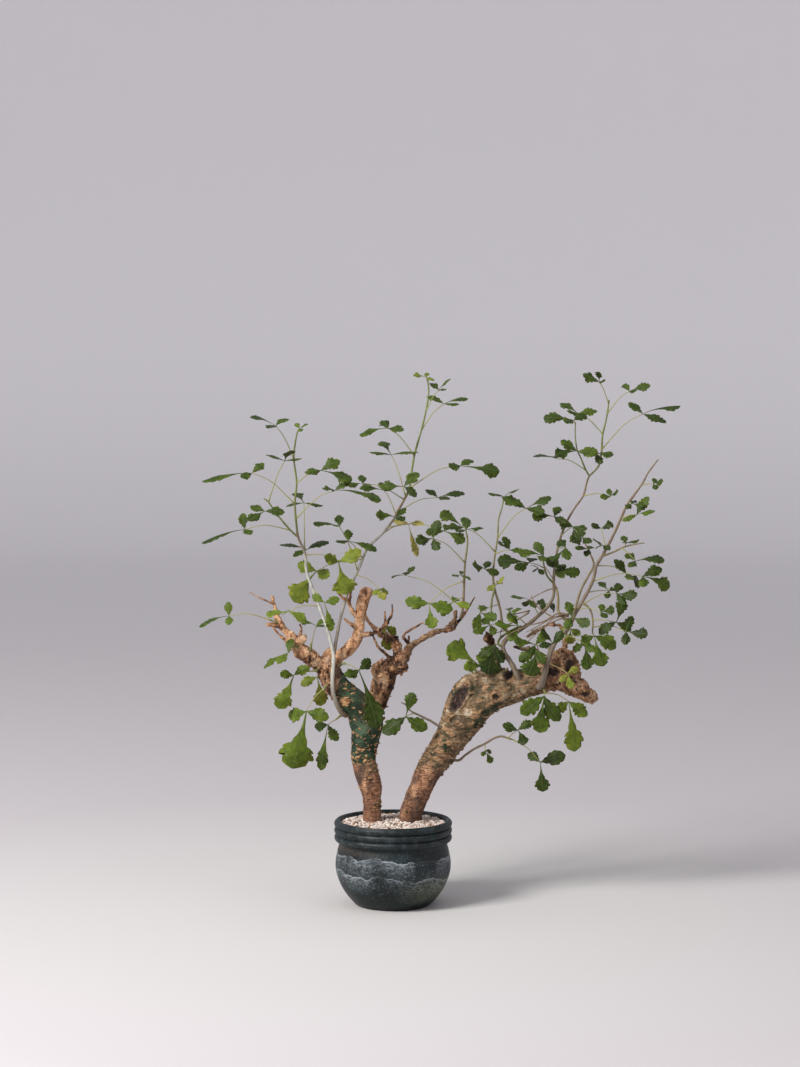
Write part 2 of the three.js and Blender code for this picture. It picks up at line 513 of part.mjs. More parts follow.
// A closed plate from points with a normal each and the four-cornered patches between them
function plate(points, patches) {
  const vertices = points.flatMap(({ at, normal }) => [
    at.clone().addScaledVector(normal, BLADE_THICKNESS / 2),
    at.clone().addScaledVector(normal, -BLADE_THICKNESS / 2),
  ]);
  const triangles = [];
  const edges = new Map();
  patches.forEach(([a, b, c, d]) => {
    triangles.push([2 * a, 2 * b, 2 * c], [2 * a, 2 * c, 2 * d]);
    triangles.push([2 * a + 1, 2 * c + 1, 2 * b + 1], [2 * a + 1, 2 * d + 1, 2 * c + 1]);
    [[a, b], [b, c], [c, d], [d, a]].forEach(([from, to]) => {
      if (!edges.delete(`${to} ${from}`)) edges.set(`${from} ${to}`, [from, to]);
    });
  });
  edges.forEach(([from, to]) => {
    triangles.push([2 * from, 2 * from + 1, 2 * to + 1], [2 * from, 2 * to + 1, 2 * to]);
  });
  return closedMesh(vertices, triangles);
}

// The points of a leaflet from its joint out to its tip, the middle raised so that the tip droops
function leaflet(joint, tip, face, size, atEnd) {
  const length = joint.distanceTo(tip);
  const width = Math.min(WIDEST_BLADE * size, length * (atEnd ? END_WIDTH : SIDE_WIDTH));
  const wedged = size > LOBED_SIZE ? LOBED_OUTLINE : BLUNT_OUTLINE;
  const outline = atEnd || length > WEDGED_LENGTH ? wedged : SIDE_OUTLINE;
  return outline.map(([s, w]) => ({
    at: joint.clone().lerp(tip, s).addScaledVector(face, DROOP * length * s * (1 - s)),
    width: w * width,
  }));
}

// How far a leaflet reaches in depth if it is drawn shorter than it is
function hiddenReach(jx, jz, x, z, length) {
  const drawn = Math.hypot(x - jx, z - jz);
  return drawn < length ? Math.sqrt(length ** 2 - drawn ** 2) : 0;
}

// The upward normal of a face that is turned towards the eye
function turned(degrees) {
  const radians = THREE.MathUtils.degToRad(degrees);
  return new THREE.Vector3(0, -Math.sin(radians), Math.cos(radians));
}

// A side leaflet's tip, swung outwards where it would lie too close to the leaf's middle line
function spread(joint, tip, outwards) {
  const reach = tip.clone().sub(joint);
  const length = reach.length();
  const out = reach.dot(outwards);
  if (out > SPREAD * length) return tip;
  const rest = reach.addScaledVector(outwards, -out).setLength(length * Math.sqrt(1 - SPREAD ** 2));
  return rest.addScaledVector(outwards, SPREAD * length).add(joint);
}

function leafPlate(stems, leaf) {
  const [nx, nz, jx, jz, away, ex, ez, ax, az, bx, bz, turn, size, endTurn = turn] = leaf;
  const node = nodeOn(stems, nx, nz);
  const depth = node.depth + away;
  const joint = seen(jx, jz, depth);
  const from = seen(node.x, node.z, node.depth);
  const face = turned(turn);
  const endReach = Math.sign(away) * hiddenReach(jx, jz, ex, ez, END_LENGTH * size);
  // The face is turned to the eye, so the side leaflet that is drawn lower is the nearer one
  const low = az < bz ? [ax, az] : [bx, bz];
  const high = az < bz ? [bx, bz] : [ax, az];
  const endTip = seen(ex, ez, depth + endReach);
  const nearTip = seen(...low, depth - hiddenReach(jx, jz, ...low, SIDE_LENGTH * size));
  const farTip = seen(...high, depth + hiddenReach(jx, jz, ...high, SIDE_LENGTH * size));
  const ahead = endTip.clone().sub(joint).normalize();
  const normal = face.clone().addScaledVector(ahead, -face.dot(ahead)).normalize();
  const left = new THREE.Vector3().crossVectors(normal, ahead);
  const nearIsLeft = nearTip.clone().sub(farTip).dot(left) > 0;
  const leftTip = spread(joint, nearIsLeft ? nearTip : farTip, left);
  const rightTip = spread(joint, nearIsLeft ? farTip : nearTip, left.clone().negate());
  const points = [];
  const patches = [];
  const add = (at, along, width, upper) => {
    const flat = upper.clone().addScaledVector(along, -upper.dot(along)).normalize();
    const side = new THREE.Vector3().crossVectors(flat, along);
    const first = points.push({ at: at.clone().addScaledVector(side, width / 2), normal: flat }) - 1;
    points.push({ at: at.clone().addScaledVector(side, -width / 2), normal: flat });
    return first;
  };
  // Corners of the joint: behind left, behind right, ahead left, ahead right
  add(joint.clone().addScaledVector(ahead, -STALK_WIDTH / 2), ahead, STALK_WIDTH, face);
  add(joint.clone().addScaledVector(ahead, STALK_WIDTH / 2), ahead, STALK_WIDTH, face);
  patches.push([0, 1, 3, 2]);
  const grow = (rootLeft, rootRight, steps, upper = face) => {
    let before = [rootLeft, rootRight];
    steps.forEach(({ at, width }, i) => {
      const last = i > 0 ? steps[i - 1].at : joint;
      const next = steps[Math.min(i + 1, steps.length - 1)].at;
      const along = next.clone().sub(last).normalize();
      const first = add(at, along, width, upper);
      patches.push([before[0], before[1], first + 1, first]);
      before = [first, first + 1];
    });
  };
  const stalk = from.distanceTo(joint);
  const bend = { at: joint.clone().lerp(from, 0.45).addScaledVector(UP, stalk * 0.1), width: STALK_WIDTH };
  grow(1, 0, [...(stalk > LONG_STALK ? [bend] : []), { at: from, width: STALK_WIDTH }]);
  grow(2, 3, leaflet(joint, endTip, face, size, true), turned(endTurn));
  grow(0, 2, leaflet(joint, leftTip, face, size, false));
  grow(3, 1, leaflet(joint, rightTip, face, size, false));
  return plate(points, patches);
}

// The biggest of the bodies that a cut leaves
function mainBody(solid) {
  return solid.decompose().sort((a, b) => b.volume() - a.volume())[0];
}

// The pot: outer profile from the foot up to the lip with three ridges, and back down the inside
function ridge(bottom, top, radius, bulge) {
  const steps = 2;
  const points = [];
  for (let i = 0; i <= steps; i++) {
    const t = i / steps;
    points.push(new THREE.Vector2(radius + bulge * Math.sin(Math.PI * t), bottom + (top - bottom) * t));
  }
  return points;
}

const POT_SIDES = 30;
const BORE_RADIUS = RIM_RADIUS - WALL - 1.5;
const BELLY = [[FOOT_RADIUS, 0], [49.5, 9], [57.5, 21], [62.8, 35], [64, 47], [62.4, 59], [60.2, 68]];
const CAVITY = [[42, SOIL_BED_Z], [51, 21], [57.5, 47], [55, 70], [BORE_RADIUS, 86]];
const asPoints = (pairs) => pairs.map(([r, z]) => new THREE.Vector2(r, z));
const potProfile = [
  new THREE.Vector2(0, 0),
  ...new THREE.SplineCurve(asPoints(BELLY)).getPoints(6),
  ...ridge(71.5, 79.5, RIM_RADIUS - 1.8, 1.8),
  ...ridge(79.5, 87.5, RIM_RADIUS - 1.8, 1.8).slice(1),
  ...ridge(87.5, POT_HEIGHT - 0.8, RIM_RADIUS - 1.8, 1.8).slice(1),
  new THREE.Vector2(RIM_RADIUS - 4, POT_HEIGHT),
  new THREE.Vector2(BORE_RADIUS + 1, POT_HEIGHT - 1),
  ...asPoints(CAVITY).reverse(),
  new THREE.Vector2(0, SOIL_BED_Z),
];
const pot = new THREE.LatheGeometry(potProfile, POT_SIDES).rotateX(Math.PI / 2);

// Soil: fills the pot to just under the lip, with a low crown and a surface of grains
const SOIL_RINGS = 5;
const SOIL_SIDES = 24;
const GRAIN = 0.7;

function soilBody() {
  const inner = [...CAVITY, [BORE_RADIUS, SOIL_EDGE_Z]];
  const rings = inner.map(([r, z], i) => [r - GAP - 0.2, i === 0 ? z + GAP : z]);
  const top = [];
  for (let i = 1; i < SOIL_RINGS; i++) {
    const share = 1 - i / SOIL_RINGS;
    top.push([rings.at(-1)[0] * share, SOIL_EDGE_Z + SOIL_CROWN * (1 - share ** 2)]);
  }
  const walls = rings.length;
  const all = [...rings, ...top];
  const vertices = [];
  const triangles = [];
  all.forEach(([r, z], i) => {
    for (let k = 0; k < SOIL_SIDES; k++) {
      const angle = (2 * Math.PI * (k + (i % 2) / 2)) / SOIL_SIDES;
      const grain = i < walls ? 0 : GRAIN * (2 * chance(i * SOIL_SIDES + k) - 1);
      vertices.push(new THREE.Vector3(r * Math.cos(angle), r * Math.sin(angle), z + grain));
    }
  });
  for (let i = 0; i + 1 < all.length; i++) {
    for (let k = 0; k < SOIL_SIDES; k++) {
      const a = i * SOIL_SIDES + k;
      const b = i * SOIL_SIDES + ((k + 1) % SOIL_SIDES);
      if (i % 2) triangles.push([a, b, b + SOIL_SIDES], [a, b + SOIL_SIDES, a + SOIL_SIDES]);
      else triangles.push([a, b, a + SOIL_SIDES], [b, b + SOIL_SIDES, a + SOIL_SIDES]);
    }
  }
  const low = vertices.push(new THREE.Vector3(0, 0, SOIL_BED_Z + GAP)) - 1;
  const high = vertices.push(new THREE.Vector3(0, 0, SOIL_EDGE_Z + SOIL_CROWN)) - 1;
  const last = (all.length - 1) * SOIL_SIDES;
  for (let k = 0; k < SOIL_SIDES; k++) {
    const next = (k + 1) % SOIL_SIDES;
    triangles.push([low, next, k], [high, last + k, last + next]);
  }
  return closedMesh(vertices, triangles);
}

// Assembly
const bonsai = new THREE.Group();

function addNode(name, geometry, material) {
  const mesh = new THREE.Mesh(geometry, material);
  mesh.name = name;
  bonsai.add(mesh);
}

addNode('pot', pot, FINISH.pot);
const grownWood = Object.values(WOOD).map((limbs) => trunk(limbs, GAP));
const grownTrunks = wasm.Manifold.union(grownWood);
addNode('soil', geometryOf(soilBody().subtract(grownTrunks)), FINISH.soil);
addNode('trunk_left', geometryOf(trunk(WOOD.trunk_left)), FINISH.bark_left);
addNode('trunk_right', geometryOf(trunk(WOOD.trunk_right)), FINISH.bark_right);

// Each spray is cut clear of the wood and of the stems that were placed before it
let keepClearOf = grownTrunks;
for (const [name, spray] of Object.entries(SPRAYS)) {
  const stems = spray.stems.map((points) => stemTube(points));
  const leaves = spray.leaves.map((leaf) => leafPlate(spray.stems, leaf));
  const whole = wasm.Manifold.union([...stems, ...leaves]);
  addNode(name, geometryOf(mainBody(whole.subtract(keepClearOf)).simplify(0.1)), FINISH.leaf);
  const grownStems = spray.stems.map((points) => stemTube(points, GAP));
  keepClearOf = wasm.Manifold.union([keepClearOf, ...grownStems]);
}

export default bonsai;
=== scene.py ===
"""A two-trunked Commiphora bonsai in a dark stoneware pot."""
import math
import random

import bmesh
import bpy
import numpy as np
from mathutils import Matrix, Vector, noise


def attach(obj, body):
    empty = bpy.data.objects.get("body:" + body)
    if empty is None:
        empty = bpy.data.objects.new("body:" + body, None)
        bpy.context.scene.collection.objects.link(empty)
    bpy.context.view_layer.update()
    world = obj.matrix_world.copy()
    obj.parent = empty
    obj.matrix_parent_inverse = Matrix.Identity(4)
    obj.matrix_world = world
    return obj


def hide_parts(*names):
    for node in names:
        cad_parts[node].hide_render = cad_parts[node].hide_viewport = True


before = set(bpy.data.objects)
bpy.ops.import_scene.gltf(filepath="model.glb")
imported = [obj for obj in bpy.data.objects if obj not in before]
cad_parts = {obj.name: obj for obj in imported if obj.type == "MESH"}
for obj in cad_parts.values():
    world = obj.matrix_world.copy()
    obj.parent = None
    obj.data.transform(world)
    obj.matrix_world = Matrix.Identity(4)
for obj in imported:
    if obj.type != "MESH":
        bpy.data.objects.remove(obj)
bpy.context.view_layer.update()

# Sizes are in millimetres and become metres when a mesh is made
MM = 0.001
RIM_RADIUS = 65.5
POT_HEIGHT = 95.5
FOOT_RADIUS = 40.5
BORE_RADIUS = 58.5
SOIL_EDGE_Z = 90.5
SOIL_CROWN = 3.2

# The eye that the main view is drawn from. Points of the tree are drawn as x and z on the plane y = 0
# and then moved along the line of sight to their depth y.
EYE = np.array((7.6, -3453.0, 717.9))
EYE_PITCH = 5.04
FOCAL_PIXELS = 3150
FRAME_HEIGHT = 1067
SENSOR = 36.0

# Wood: limbs of a trunk as points [x, z, depth, radius].
WOOD = {
    "trunk_left": {
        "main": [
            [-23, 62, 0, 8], [-23.5, 97, 0, 9.2], [-24, 118, 0, 10], [-25, 131, 0, 12.4],
            [-28, 142, 0, 13.4], [-31.5, 157, 0, 12.8], [-32.5, 170, 0, 13.4], [-30, 188, 0, 15],
            [-30, 203, 1, 17.5], [-37, 219, 1, 16], [-52, 233, 0, 14], [-64, 247, -1, 13.2],
            [-70, 262, -1, 12.4], [-70, 276, 0, 9], [-66, 285, 0, 5],
        ],
        "right_limb": [
            [-32, 205, 2, 13], [-21, 222, 3, 11.5], [-14, 238, 4, 11.5], [-9.5, 252, 4, 12.8],
            [-6, 261, 4, 12], [2, 269, 3, 9.5], [5, 278, 2, 6],
        ],
        "right_knot": [[0, 262, 0, 7], [10, 265, -2, 6.5], [14, 267, -3, 4.5]],
        "hook": [[-18, 256, 0, 5], [-20, 265, -1, 3.4], [-16, 268, -2, 2.4], [-11, 276, -2, 1.1]],
        "back_branch": [
            [4, 272, 2, 6.5], [5, 286, 4, 4.8], [1, 296, 6, 4.2], [-10, 300, 9, 3.6], [-20, 308, 12, 3],
            [-29, 319, 14, 2.2], [-34, 335, 15, 1.3],
        ],
        "back_twig": [
            [3, 268, 0, 3], [-8, 280, -3, 1.8], [-16, 287, -4, 1.5], [-20, 295, -4, 1.2],
            [-25, 305, -3, 0.9],
        ],
        "reaching_branch": [
            [5, 268, 1, 7], [14, 279, 0, 5], [18, 288, -1, 3.8], [27, 293, -3, 3.2], [43, 303, -5, 2.8],
            [57, 307, -7, 2.7], [64, 313, -8, 2.3], [68, 319, -8, 2.2], [69, 328, -8, 1.8],
        ],
        "reaching_tip": [
            [56, 306, -7, 2.2], [65, 307, -9, 1.9], [72, 316, -11, 1.6], [80, 326, -13, 1.3],
            [90, 343, -16, 0.6],
        ],
        "reaching_spur": [
            [18, 286, -1, 2], [15, 294, -2, 1.8], [11, 300, -3, 1.3], [20, 307, -4, 1.2],
            [34, 315, -6, 0.9],
        ],
        "short_spur": [[17, 289, -2, 1.6], [17.5, 300, -3, 0.9]],
        "pruned_stub": [
            [-66, 272, -1, 6], [-60, 277, -3, 6.2], [-48, 286, -4, 6], [-40, 297, -5, 6],
            [-37, 310, -5, 5.6], [-37, 323, -5, 6], [-33, 338, -5, 6], [-28, 351, -5, 6.6],
        ],
        "stub_spur_left": [
            [-38, 318, -6, 3], [-46, 329, -8, 2.1], [-50, 339, -9, 1.8], [-58, 344, -10, 1.5],
            [-63, 355, -10, 0.8],
        ],
        "stub_spur_up": [[-49, 335, -9, 1.8], [-47, 346, -11, 1.3], [-46, 355, -12, 0.7]],
        "stub_spur_low": [[-38, 306, -7, 2.6], [-46, 313, -9, 2], [-54, 319, -10, 1.2]],
        "stub_spur_right": [
            [-35, 301, -6, 3], [-22, 303, -8, 2.1], [-11, 310, -9, 1.9], [-5, 317, -10, 1.8],
            [-1, 326, -11, 1.1], [-1, 335, -11, 0.6],
        ],
        "stub_hook": [[-9, 313, -9, 1.6], [-9, 327, -10, 0.9]],
        "far_limb": [
            [-68, 258, 0, 9], [-83, 269, -2, 8.4], [-96, 280, -3, 8.8], [-106, 289, -4, 7.4],
            [-113, 299, -5, 4.6], [-122, 310, -6, 3.7], [-128, 319, -7, 2.8], [-130, 331, -7, 1.9],
            [-134, 344, -7, 1.3],
        ],
        "far_spur_side": [[-122, 311, -6, 3], [-140, 312.5, -8, 1.6]],
        "far_spur_low": [
            [-104, 289, -4, 3.6], [-118, 294, -7, 2.2], [-126, 302, -9, 1.6], [-132, 309, -10, 1],
        ],
        "far_knob": [[-106, 291, -6, 4], [-98, 297, -10, 3.8], [-95, 297, -11, 2.6]],
        "far_spur_up": [[-104, 294, -5, 2.4], [-101, 306, -6, 1.4], [-103, 313, -6, 0.8]],
        "dry_twig": [[-132, 336, -7, 1.4], [-140, 339, -7, 0.9], [-158, 348, -8, 0.6]],
    },
    "trunk_right": {
        "main": [
            [14, 60, 5, 10], [19, 97, 4, 12], [24, 114, 3, 12.6], [31, 131, 2, 13.2], [39, 147, 1, 13.8],
            [48, 163, 0, 15], [60, 181, -1, 17], [72, 199, -2, 19.4], [85, 217, -3, 21.4],
            [101, 233, -3, 21.6], [120, 241, -2, 19.4], [140, 245, -1, 16.8], [158, 252, 0, 16.6],
            [175, 258, 1, 18.5], [190, 263, 2, 19.5], [197, 269, 3, 15],
        ],
        "burl_top": [[184, 268, 0, 17], [193, 278, 0, 11.5]],
        "burl_end": [[184, 256, 2, 14], [203, 243, 1, 11.5], [214, 235, 0, 7.5], [222, 230, -1, 5.8]],
        "root_flare": [[18, 88, -4, 8], [15, 99, -5, 6.5], [20, 112, -3, 6]],
        "shoulder": [
            [62, 204, -6, 9], [70, 219, -7, 14], [82, 238, -6, 15.5], [96, 246, -5, 14.5],
            [110, 250, -4, 12],
        ],
        "knot": [[110, 252, -12, 8], [125, 258, -14, 7.5]],
        "broken_knob": [[117, 256, 3, 6], [112, 278, 2, 3.4], [106, 298, 0, 4.6], [104, 301, 0, 3]],
        "dark_twig": [[168, 266, 6, 5], [160, 281, 5, 3.2], [145, 285, 5, 2], [133, 288, 6, 1.2]],
        "back_twig": [
            [186, 275, 8, 5], [188, 288, 9, 2.4], [191, 303, 8, 1.8], [180, 313, 8, 1.6],
            [165, 309, 8, 1.4], [148, 299, 8, 0.9],
        ],
    },
}

# Leafy stems. Each stem is a list of points [x, z, depth, radius], the first one inside what carries it.
# Each leaf is [x, z of the node it leaves from, x, z of its three leaflets' joint, depth of the joint from
# the node, x, z of the end leaflet's tip, x, z of one side leaflet's tip, x, z of the other's, degrees that
# its face is turned from lying flat towards the eye, size, the end leaflet's own turn where it differs].
SPRAYS = {
    "shoot_left": {
        "stems": [
            [
                [-52, 211, -8, 3.2], [-59, 217, -15, 2.9], [-66, 236, -17.5, 2.6], [-67, 252, -18.5, 2.5],
                [-66, 267, -18, 2.4], [-66, 280, -18, 2.3], [-69, 294, -20, 2.1], [-76, 318, -24, 1.9],
                [-87, 348, -29, 1.8], [-95, 370, -33, 1.7], [-97, 391, -37, 1.7], [-104, 408, -40, 1.5],
                [-106, 420, -42, 1.3], [-108, 446, -46, 1.2], [-106, 470, -50, 1.1], [-109, 497, -54, 1],
                [-106, 521, -57, 0.9], [-103, 529, -58, 0.8],
            ],
            [
                [-104, 409, -40, 1.2], [-113, 417, -42, 1.1], [-128, 435, -45, 1], [-137, 448, -48, 0.9],
                [-142, 452, -49, 0.7],
            ],
        ],
        "leaves": [
            [-104, 526, -103, 529, -2, -94, 533, -113, 529, -100, 526, 45, 0.5],
            [-109, 496, -129, 532, -14, -157, 541, -138, 529, -110, 538, 15, 1],
            [-137, 448, -119, 493, -6, -112, 505, -140, 500, -100, 496, 10, 0.9],
            [-108, 446, -155, 480, -12, -210, 471, -142, 491, -168, 476, 45, 0.9, 12],
            [-106, 469, -79, 483, -10, -45, 472, -98, 486, -57, 491, 50, 1],
            [-106, 430, -64, 461, -14, -13, 450, -77, 463, -44, 468, 40, 1, 22],
            [-97, 392, -98, 447, 16, -107, 458, -118, 443, -77, 444, 10, 0.9],
            [-113, 417, -163, 418, -10, -211, 403, -165, 436, -158, 412, 45, 0.9, 8],
            [-130, 437, -141, 438, -18, -159, 427, -157, 444, -119, 437, 50, 0.9],
            [-98, 393, -94, 396, 10, -125, 401, -113, 390, -66, 400, 15, 0.9],
            [-97, 390, -60, 382, 12, -51, 346, -35, 395, -76, 388, 75, 1.1],
            [-82, 333, -115, 327, -12, -140, 323, -121, 321, -93, 319, 40, 0.8],
            [-88, 351, -76, 337, -10, -68, 305, -83, 350, -59, 341, 60, 0.8],
        ],
    },
    "shoot_centre": {
        "stems": [
            [
                [-66, 276, -18, 2], [-62, 300, -15, 2], [-58, 320, -12, 1.9], [-49, 352, -4, 1.8],
                [-39, 372, 4, 1.7], [-28, 397, 14, 1.6], [-13, 412, 20, 1.5], [0, 428, 24, 1.4],
                [4, 436, 26, 1.4], [13, 452, 29, 1.4], [18, 464, 31, 1.3], [21, 485, 34, 1.2],
                [24, 502, 36, 1.2], [31, 527, 38, 1.1], [36, 548, 40, 1], [39, 568, 42, 0.9],
                [38, 583, 43, 0.7],
            ],
        ],
        "leaves": [
            [39, 578, 36, 585, -3, 22, 587, 46, 583, 38, 590, 40, 0.5],
            [36, 548, 50, 571, -8, 63, 583, 36, 575, 59, 574, 35, 0.7],
            [31, 527, 56, 556, 8, 82, 562, 35, 562, 73, 556, 20, 0.9],
            [23, 499, -5, 529, -12, -37, 522, 13, 531, -12, 538, 45, 1, 30],
            [14, 454, -2, 500, 10, -12, 515, -26, 503, 28, 503, 8, 1],
            [18, 463, 74, 488, 10, 117, 482, 61, 488, 88, 494, 45, 1, 35],
            [17, 460, 12, 465, -12, -14, 464, 33, 474, 28, 457, 50, 0.8],
            [12, 451, -33, 468, -10, -50, 466, -35, 478, -25, 466, 25, 0.8],
            [4, 434, -10, 461, 8, -37, 463, -14, 470, -3, 461, 30, 0.8],
            [5, 436, 49, 453, 10, 79, 457, 36, 462, 62, 451, 20, 0.9],
            [2, 431, 3, 431, -10, -19, 434, 13, 428, 19, 436, 40, 0.8],
            [-6, 420, 56, 416, -12, 79, 404, 36, 421, 62, 422, 60, 0.9],
            [-12, 412, 17, 424, 14, 27, 388, 4, 431, 31, 421, 30, 0.9],
            [-34, 385, -49, 405, -14, -18, 394, -63, 404, -50, 418, 20, 0.9],
            [-39, 372, -59, 421, -18, -88, 425, -66, 422, -60, 434, 20, 0.9],
            [-36, 386, -84, 372, -10, -110, 338, -70, 366, -105, 380, 75, 1.2],
            [-41, 368, -15, 352, -8, -11, 340, -5, 347, -19, 345, 60, 0.7],
        ],
    },
    "shoot_mid": {
        "stems": [
            [
                [74, 319, -12, 1.6], [77, 330, -14, 1.5], [78, 350, -16, 1.4], [79, 378, -20, 1.2],
                [82, 404, -24, 1], [80, 417, -26, 0.8],
            ],
        ],
        "leaves": [
            [78, 361, 40, 336, -14, 44, 308, 13, 339, 66, 329, 75, 1],
            [77, 330, 14, 367, 12, -1, 366, 24, 377, 18, 373, 15, 0.7],
            [77, 343, 65, 337, -12, 84, 331, 70, 342, 53, 322, 55, 0.8],
            [82, 410, 80, 417, -8, 99, 419, 70, 415, 82, 430, 25, 0.8],
            [79, 381, 44, 408, -16, 25, 404, 50, 395, 58, 424, 60, 0.9],
            [78, 364, 75, 367, -4, 66, 366, 80, 371, 86, 362, 25, 0.5],
        ],
    },
    "branch_high": {
        "stems": [
            [
                [142, 246, -9, 4], [138, 254, -16, 3.5], [134, 263, -17, 3.2], [129, 272, -16, 3],
                [123, 281, -14, 2.9], [121, 289, -11, 2.8], [126, 297, -7, 2.7], [134, 303, -3, 2.6],
                [148, 312, 3, 2.4], [161, 323, 8, 2.2], [171, 333, 12, 2], [177, 345, 16, 1.8],
                [177, 360, 20, 1.7], [178, 378, 24, 1.6], [181, 396, 28, 1.5], [185, 411, 31, 1.4],
                [192, 428, 34, 1.3], [200, 442, 37, 1.2], [209, 455, 40, 1.2], [213, 470, 42, 1.1],
                [216, 477, 43, 1.1], [223, 484, 45, 1.1], [227, 491, 46, 1.2], [229, 505, 48, 1.2],
                [230, 522, 50, 1.1], [234, 540, 52, 1], [237, 560, 54, 0.8],
            ],
            [
                [216, 476, 43, 1], [211, 485, 42, 1], [206, 497, 40, 0.9], [202, 506, 39, 0.8],
                [200, 520, 38, 0.7], [200, 536, 37, 0.6],
            ],
            [[177, 358, 19, 1.2], [170, 366, 17, 1.1], [167, 375, 15, 1], [165, 384, 14, 0.8]],
            [
                [121, 288, -10, 1.6], [116, 291, -8, 1.4], [118, 297, -6, 1.4], [127, 304, -2, 1.3],
                [141, 311, 4, 1.1],
            ],
        ],
        "leaves": [
            [237, 556, 226, 580, -8, 226, 591, 208, 589, 231, 581, 45, 0.6],
            [235, 545, 259, 570, -8, 282, 576, 252, 577, 266, 570, 40, 0.8],
            [229, 506, 274, 545, -12, 315, 554, 257, 557, 303, 541, 24, 1, 8],
            [230, 523, 203, 545, 8, 184, 557, 224, 548, 191, 548, 40, 0.9],
            [200, 534, 198, 538, -6, 165, 541, 188, 536, 214, 540, 50, 1],
            [202, 505, 202, 504, -10, 178, 500, 184, 516, 225, 509, 50, 1],
            [212, 483, 179, 496, -12, 154, 498, 186, 500, 170, 499, 15, 0.9],
            [228, 498, 222, 501, -12, 241, 499, 234, 493, 214, 506, 50, 0.8],
            [209, 455, 239, 454, -6, 247, 459, 227, 455, 237, 463, 55, 0.6],
            [192, 428, 177, 432, -10, 153, 432, 182, 443, 190, 425, 50, 0.9],
            [185, 411, 198, 421, -14, 203, 404, 189, 427, 212, 417, 60, 1],
            [181, 396, 190, 398, -16, 170, 378, 181, 405, 193, 384, 60, 1],
            [166, 380, 166, 388, -10, 138, 392, 156, 404, 162, 383, 45, 1],
            [167, 375, 150, 381, -14, 115, 384, 132, 377, 155, 386, 55, 1],
            [168, 372, 160, 374, -8, 154, 378, 155, 370, 166, 368, 45, 0.6],
            [178, 366, 178, 371, -10, 206, 371, 188, 364, 190, 379, 50, 0.9],
            [161, 323, 150, 340, -10, 130, 343, 157, 331, 146, 332, 20, 0.8],
            [172, 335, 168, 336, 12, 178, 328, 163, 330, 158, 335, 55, 0.7],
            [148, 312, 128, 327, -10, 140, 329, 119, 323, 134, 320, 45, 0.7],
            [141, 308, 138, 311, -14, 113, 312, 126, 323, 121, 299, 45, 1],
            [121, 289, 112, 290, -12, 105, 257, 96, 275, 122, 270, 80, 1],
        ],
    },
    "shoot_slim": {
        "stems": [
            [
                [130, 300, -3, 1.6], [121, 312, 8, 1.6], [118, 330, 14, 1.5], [112, 352, 18, 1.4],
                [110, 368, 20, 1.3], [112, 388, 22, 1.1], [115, 410, 25, 1], [116, 428, 28, 0.9],
                [120, 443, 30, 0.8], [122, 453, 32, 0.7],
            ],
            [[112, 352, 18, 1.1], [109, 340, 12, 1.1], [108, 326, 8, 1]],
        ],
        "leaves": [
            [112, 393, 77, 420, -14, 52, 437, 60, 421, 80, 431, 50, 1],
            [122, 452, 122, 454, -2, 138, 462, 104, 458, 139, 446, 15, 0.8],
            [115, 408, 146, 441, -12, 174, 453, 118, 450, 168, 446, 40, 1],
            [112, 391, 128, 395, -12, 116, 402, 121, 410, 143, 393, 35, 0.8],
            [110, 368, 101, 374, -10, 88, 378, 117, 369, 108, 381, 50, 0.8],
            [111, 360, 114, 357, -12, 122, 363, 119, 353, 103, 351, 60, 0.6],
            [116, 335, 96, 326, -10, 114, 318, 90, 306, 100, 334, 55, 0.9],
            [121, 313, 107, 312, -16, 89, 303, 98, 319, 112, 301, 60, 0.8],
        ],
    },
    "branch_front": {
        "stems": [
            [
                [160, 243, -10, 5], [164, 247, -18, 4.4], [167, 256, -20, 3.8], [170, 268, -21, 3.4],
                [173, 280, -22, 3.2], [179, 293, -23, 3], [188, 303, -25, 2.8], [195, 313, -27, 2.7],
                [201, 325, -30, 2.4], [209, 339, -33, 2.2], [216, 352, -36, 2], [221, 364, -38, 1.9],
                [224, 378, -40, 1.9], [230, 388, -43, 1.8], [236, 399, -46, 1.7], [244, 415, -50, 1.6],
                [251, 431, -54, 1.5], [258, 446, -57, 1.4], [273, 467, -62, 1.1], [280, 480, -65, 1],
                [291, 495, -68, 0.8],
            ],
            [
                [198, 318, -27, 1.6], [203, 338, -20, 1.5], [208, 353, -16, 1.4], [216, 368, -14, 1.3],
                [221, 379, -13, 1.2], [217, 391, -12, 1], [211, 403, -11, 0.8],
            ],
            [
                [195, 313, -27, 2], [187, 321, -20, 1.8], [182, 328, -14, 1.7], [182, 342, -8, 1.5],
                [180, 354, -3, 1.2],
            ],
            [
                [230, 388, -43, 1.3], [243, 393, -47, 1.1], [253, 398, -50, 1], [264, 401, -53, 0.8],
                [277, 403, -56, 0.6],
            ],
            [[208, 337, -33, 1.4], [216, 331, -35, 1.2], [220, 320, -37, 1.1], [220, 302, -39, 0.8]],
        ],
        "leaves": [
            [273, 467, 286, 468, -4, 296, 470, 288, 474, 291, 463, 60, 0.6],
            [259, 448, 262, 446, -6, 275, 443, 256, 441, 266, 450, 40, 0.6],
            [251, 431, 268, 434, -10, 287, 437, 252, 427, 281, 454, 30, 0.9],
            [255, 399, 256, 402, -8, 270, 405, 248, 410, 262, 408, 30, 0.7],
            [234, 396, 229, 419, 10, 242, 424, 218, 423, 233, 431, 50, 0.6],
            [236, 399, 231, 400, -10, 221, 406, 224, 397, 239, 395, 45, 0.7],
            [215, 395, 216, 396, -8, 201, 396, 222, 397, 207, 390, 35, 0.7],
            [211, 402, 209, 409, -8, 196, 404, 218, 403, 205, 417, 60, 0.9],
            [252, 397, 267, 383, -10, 299, 384, 256, 391, 262, 376, 35, 0.9],
            [224, 378, 257, 369, 10, 272, 356, 243, 384, 263, 362, 50, 0.9],
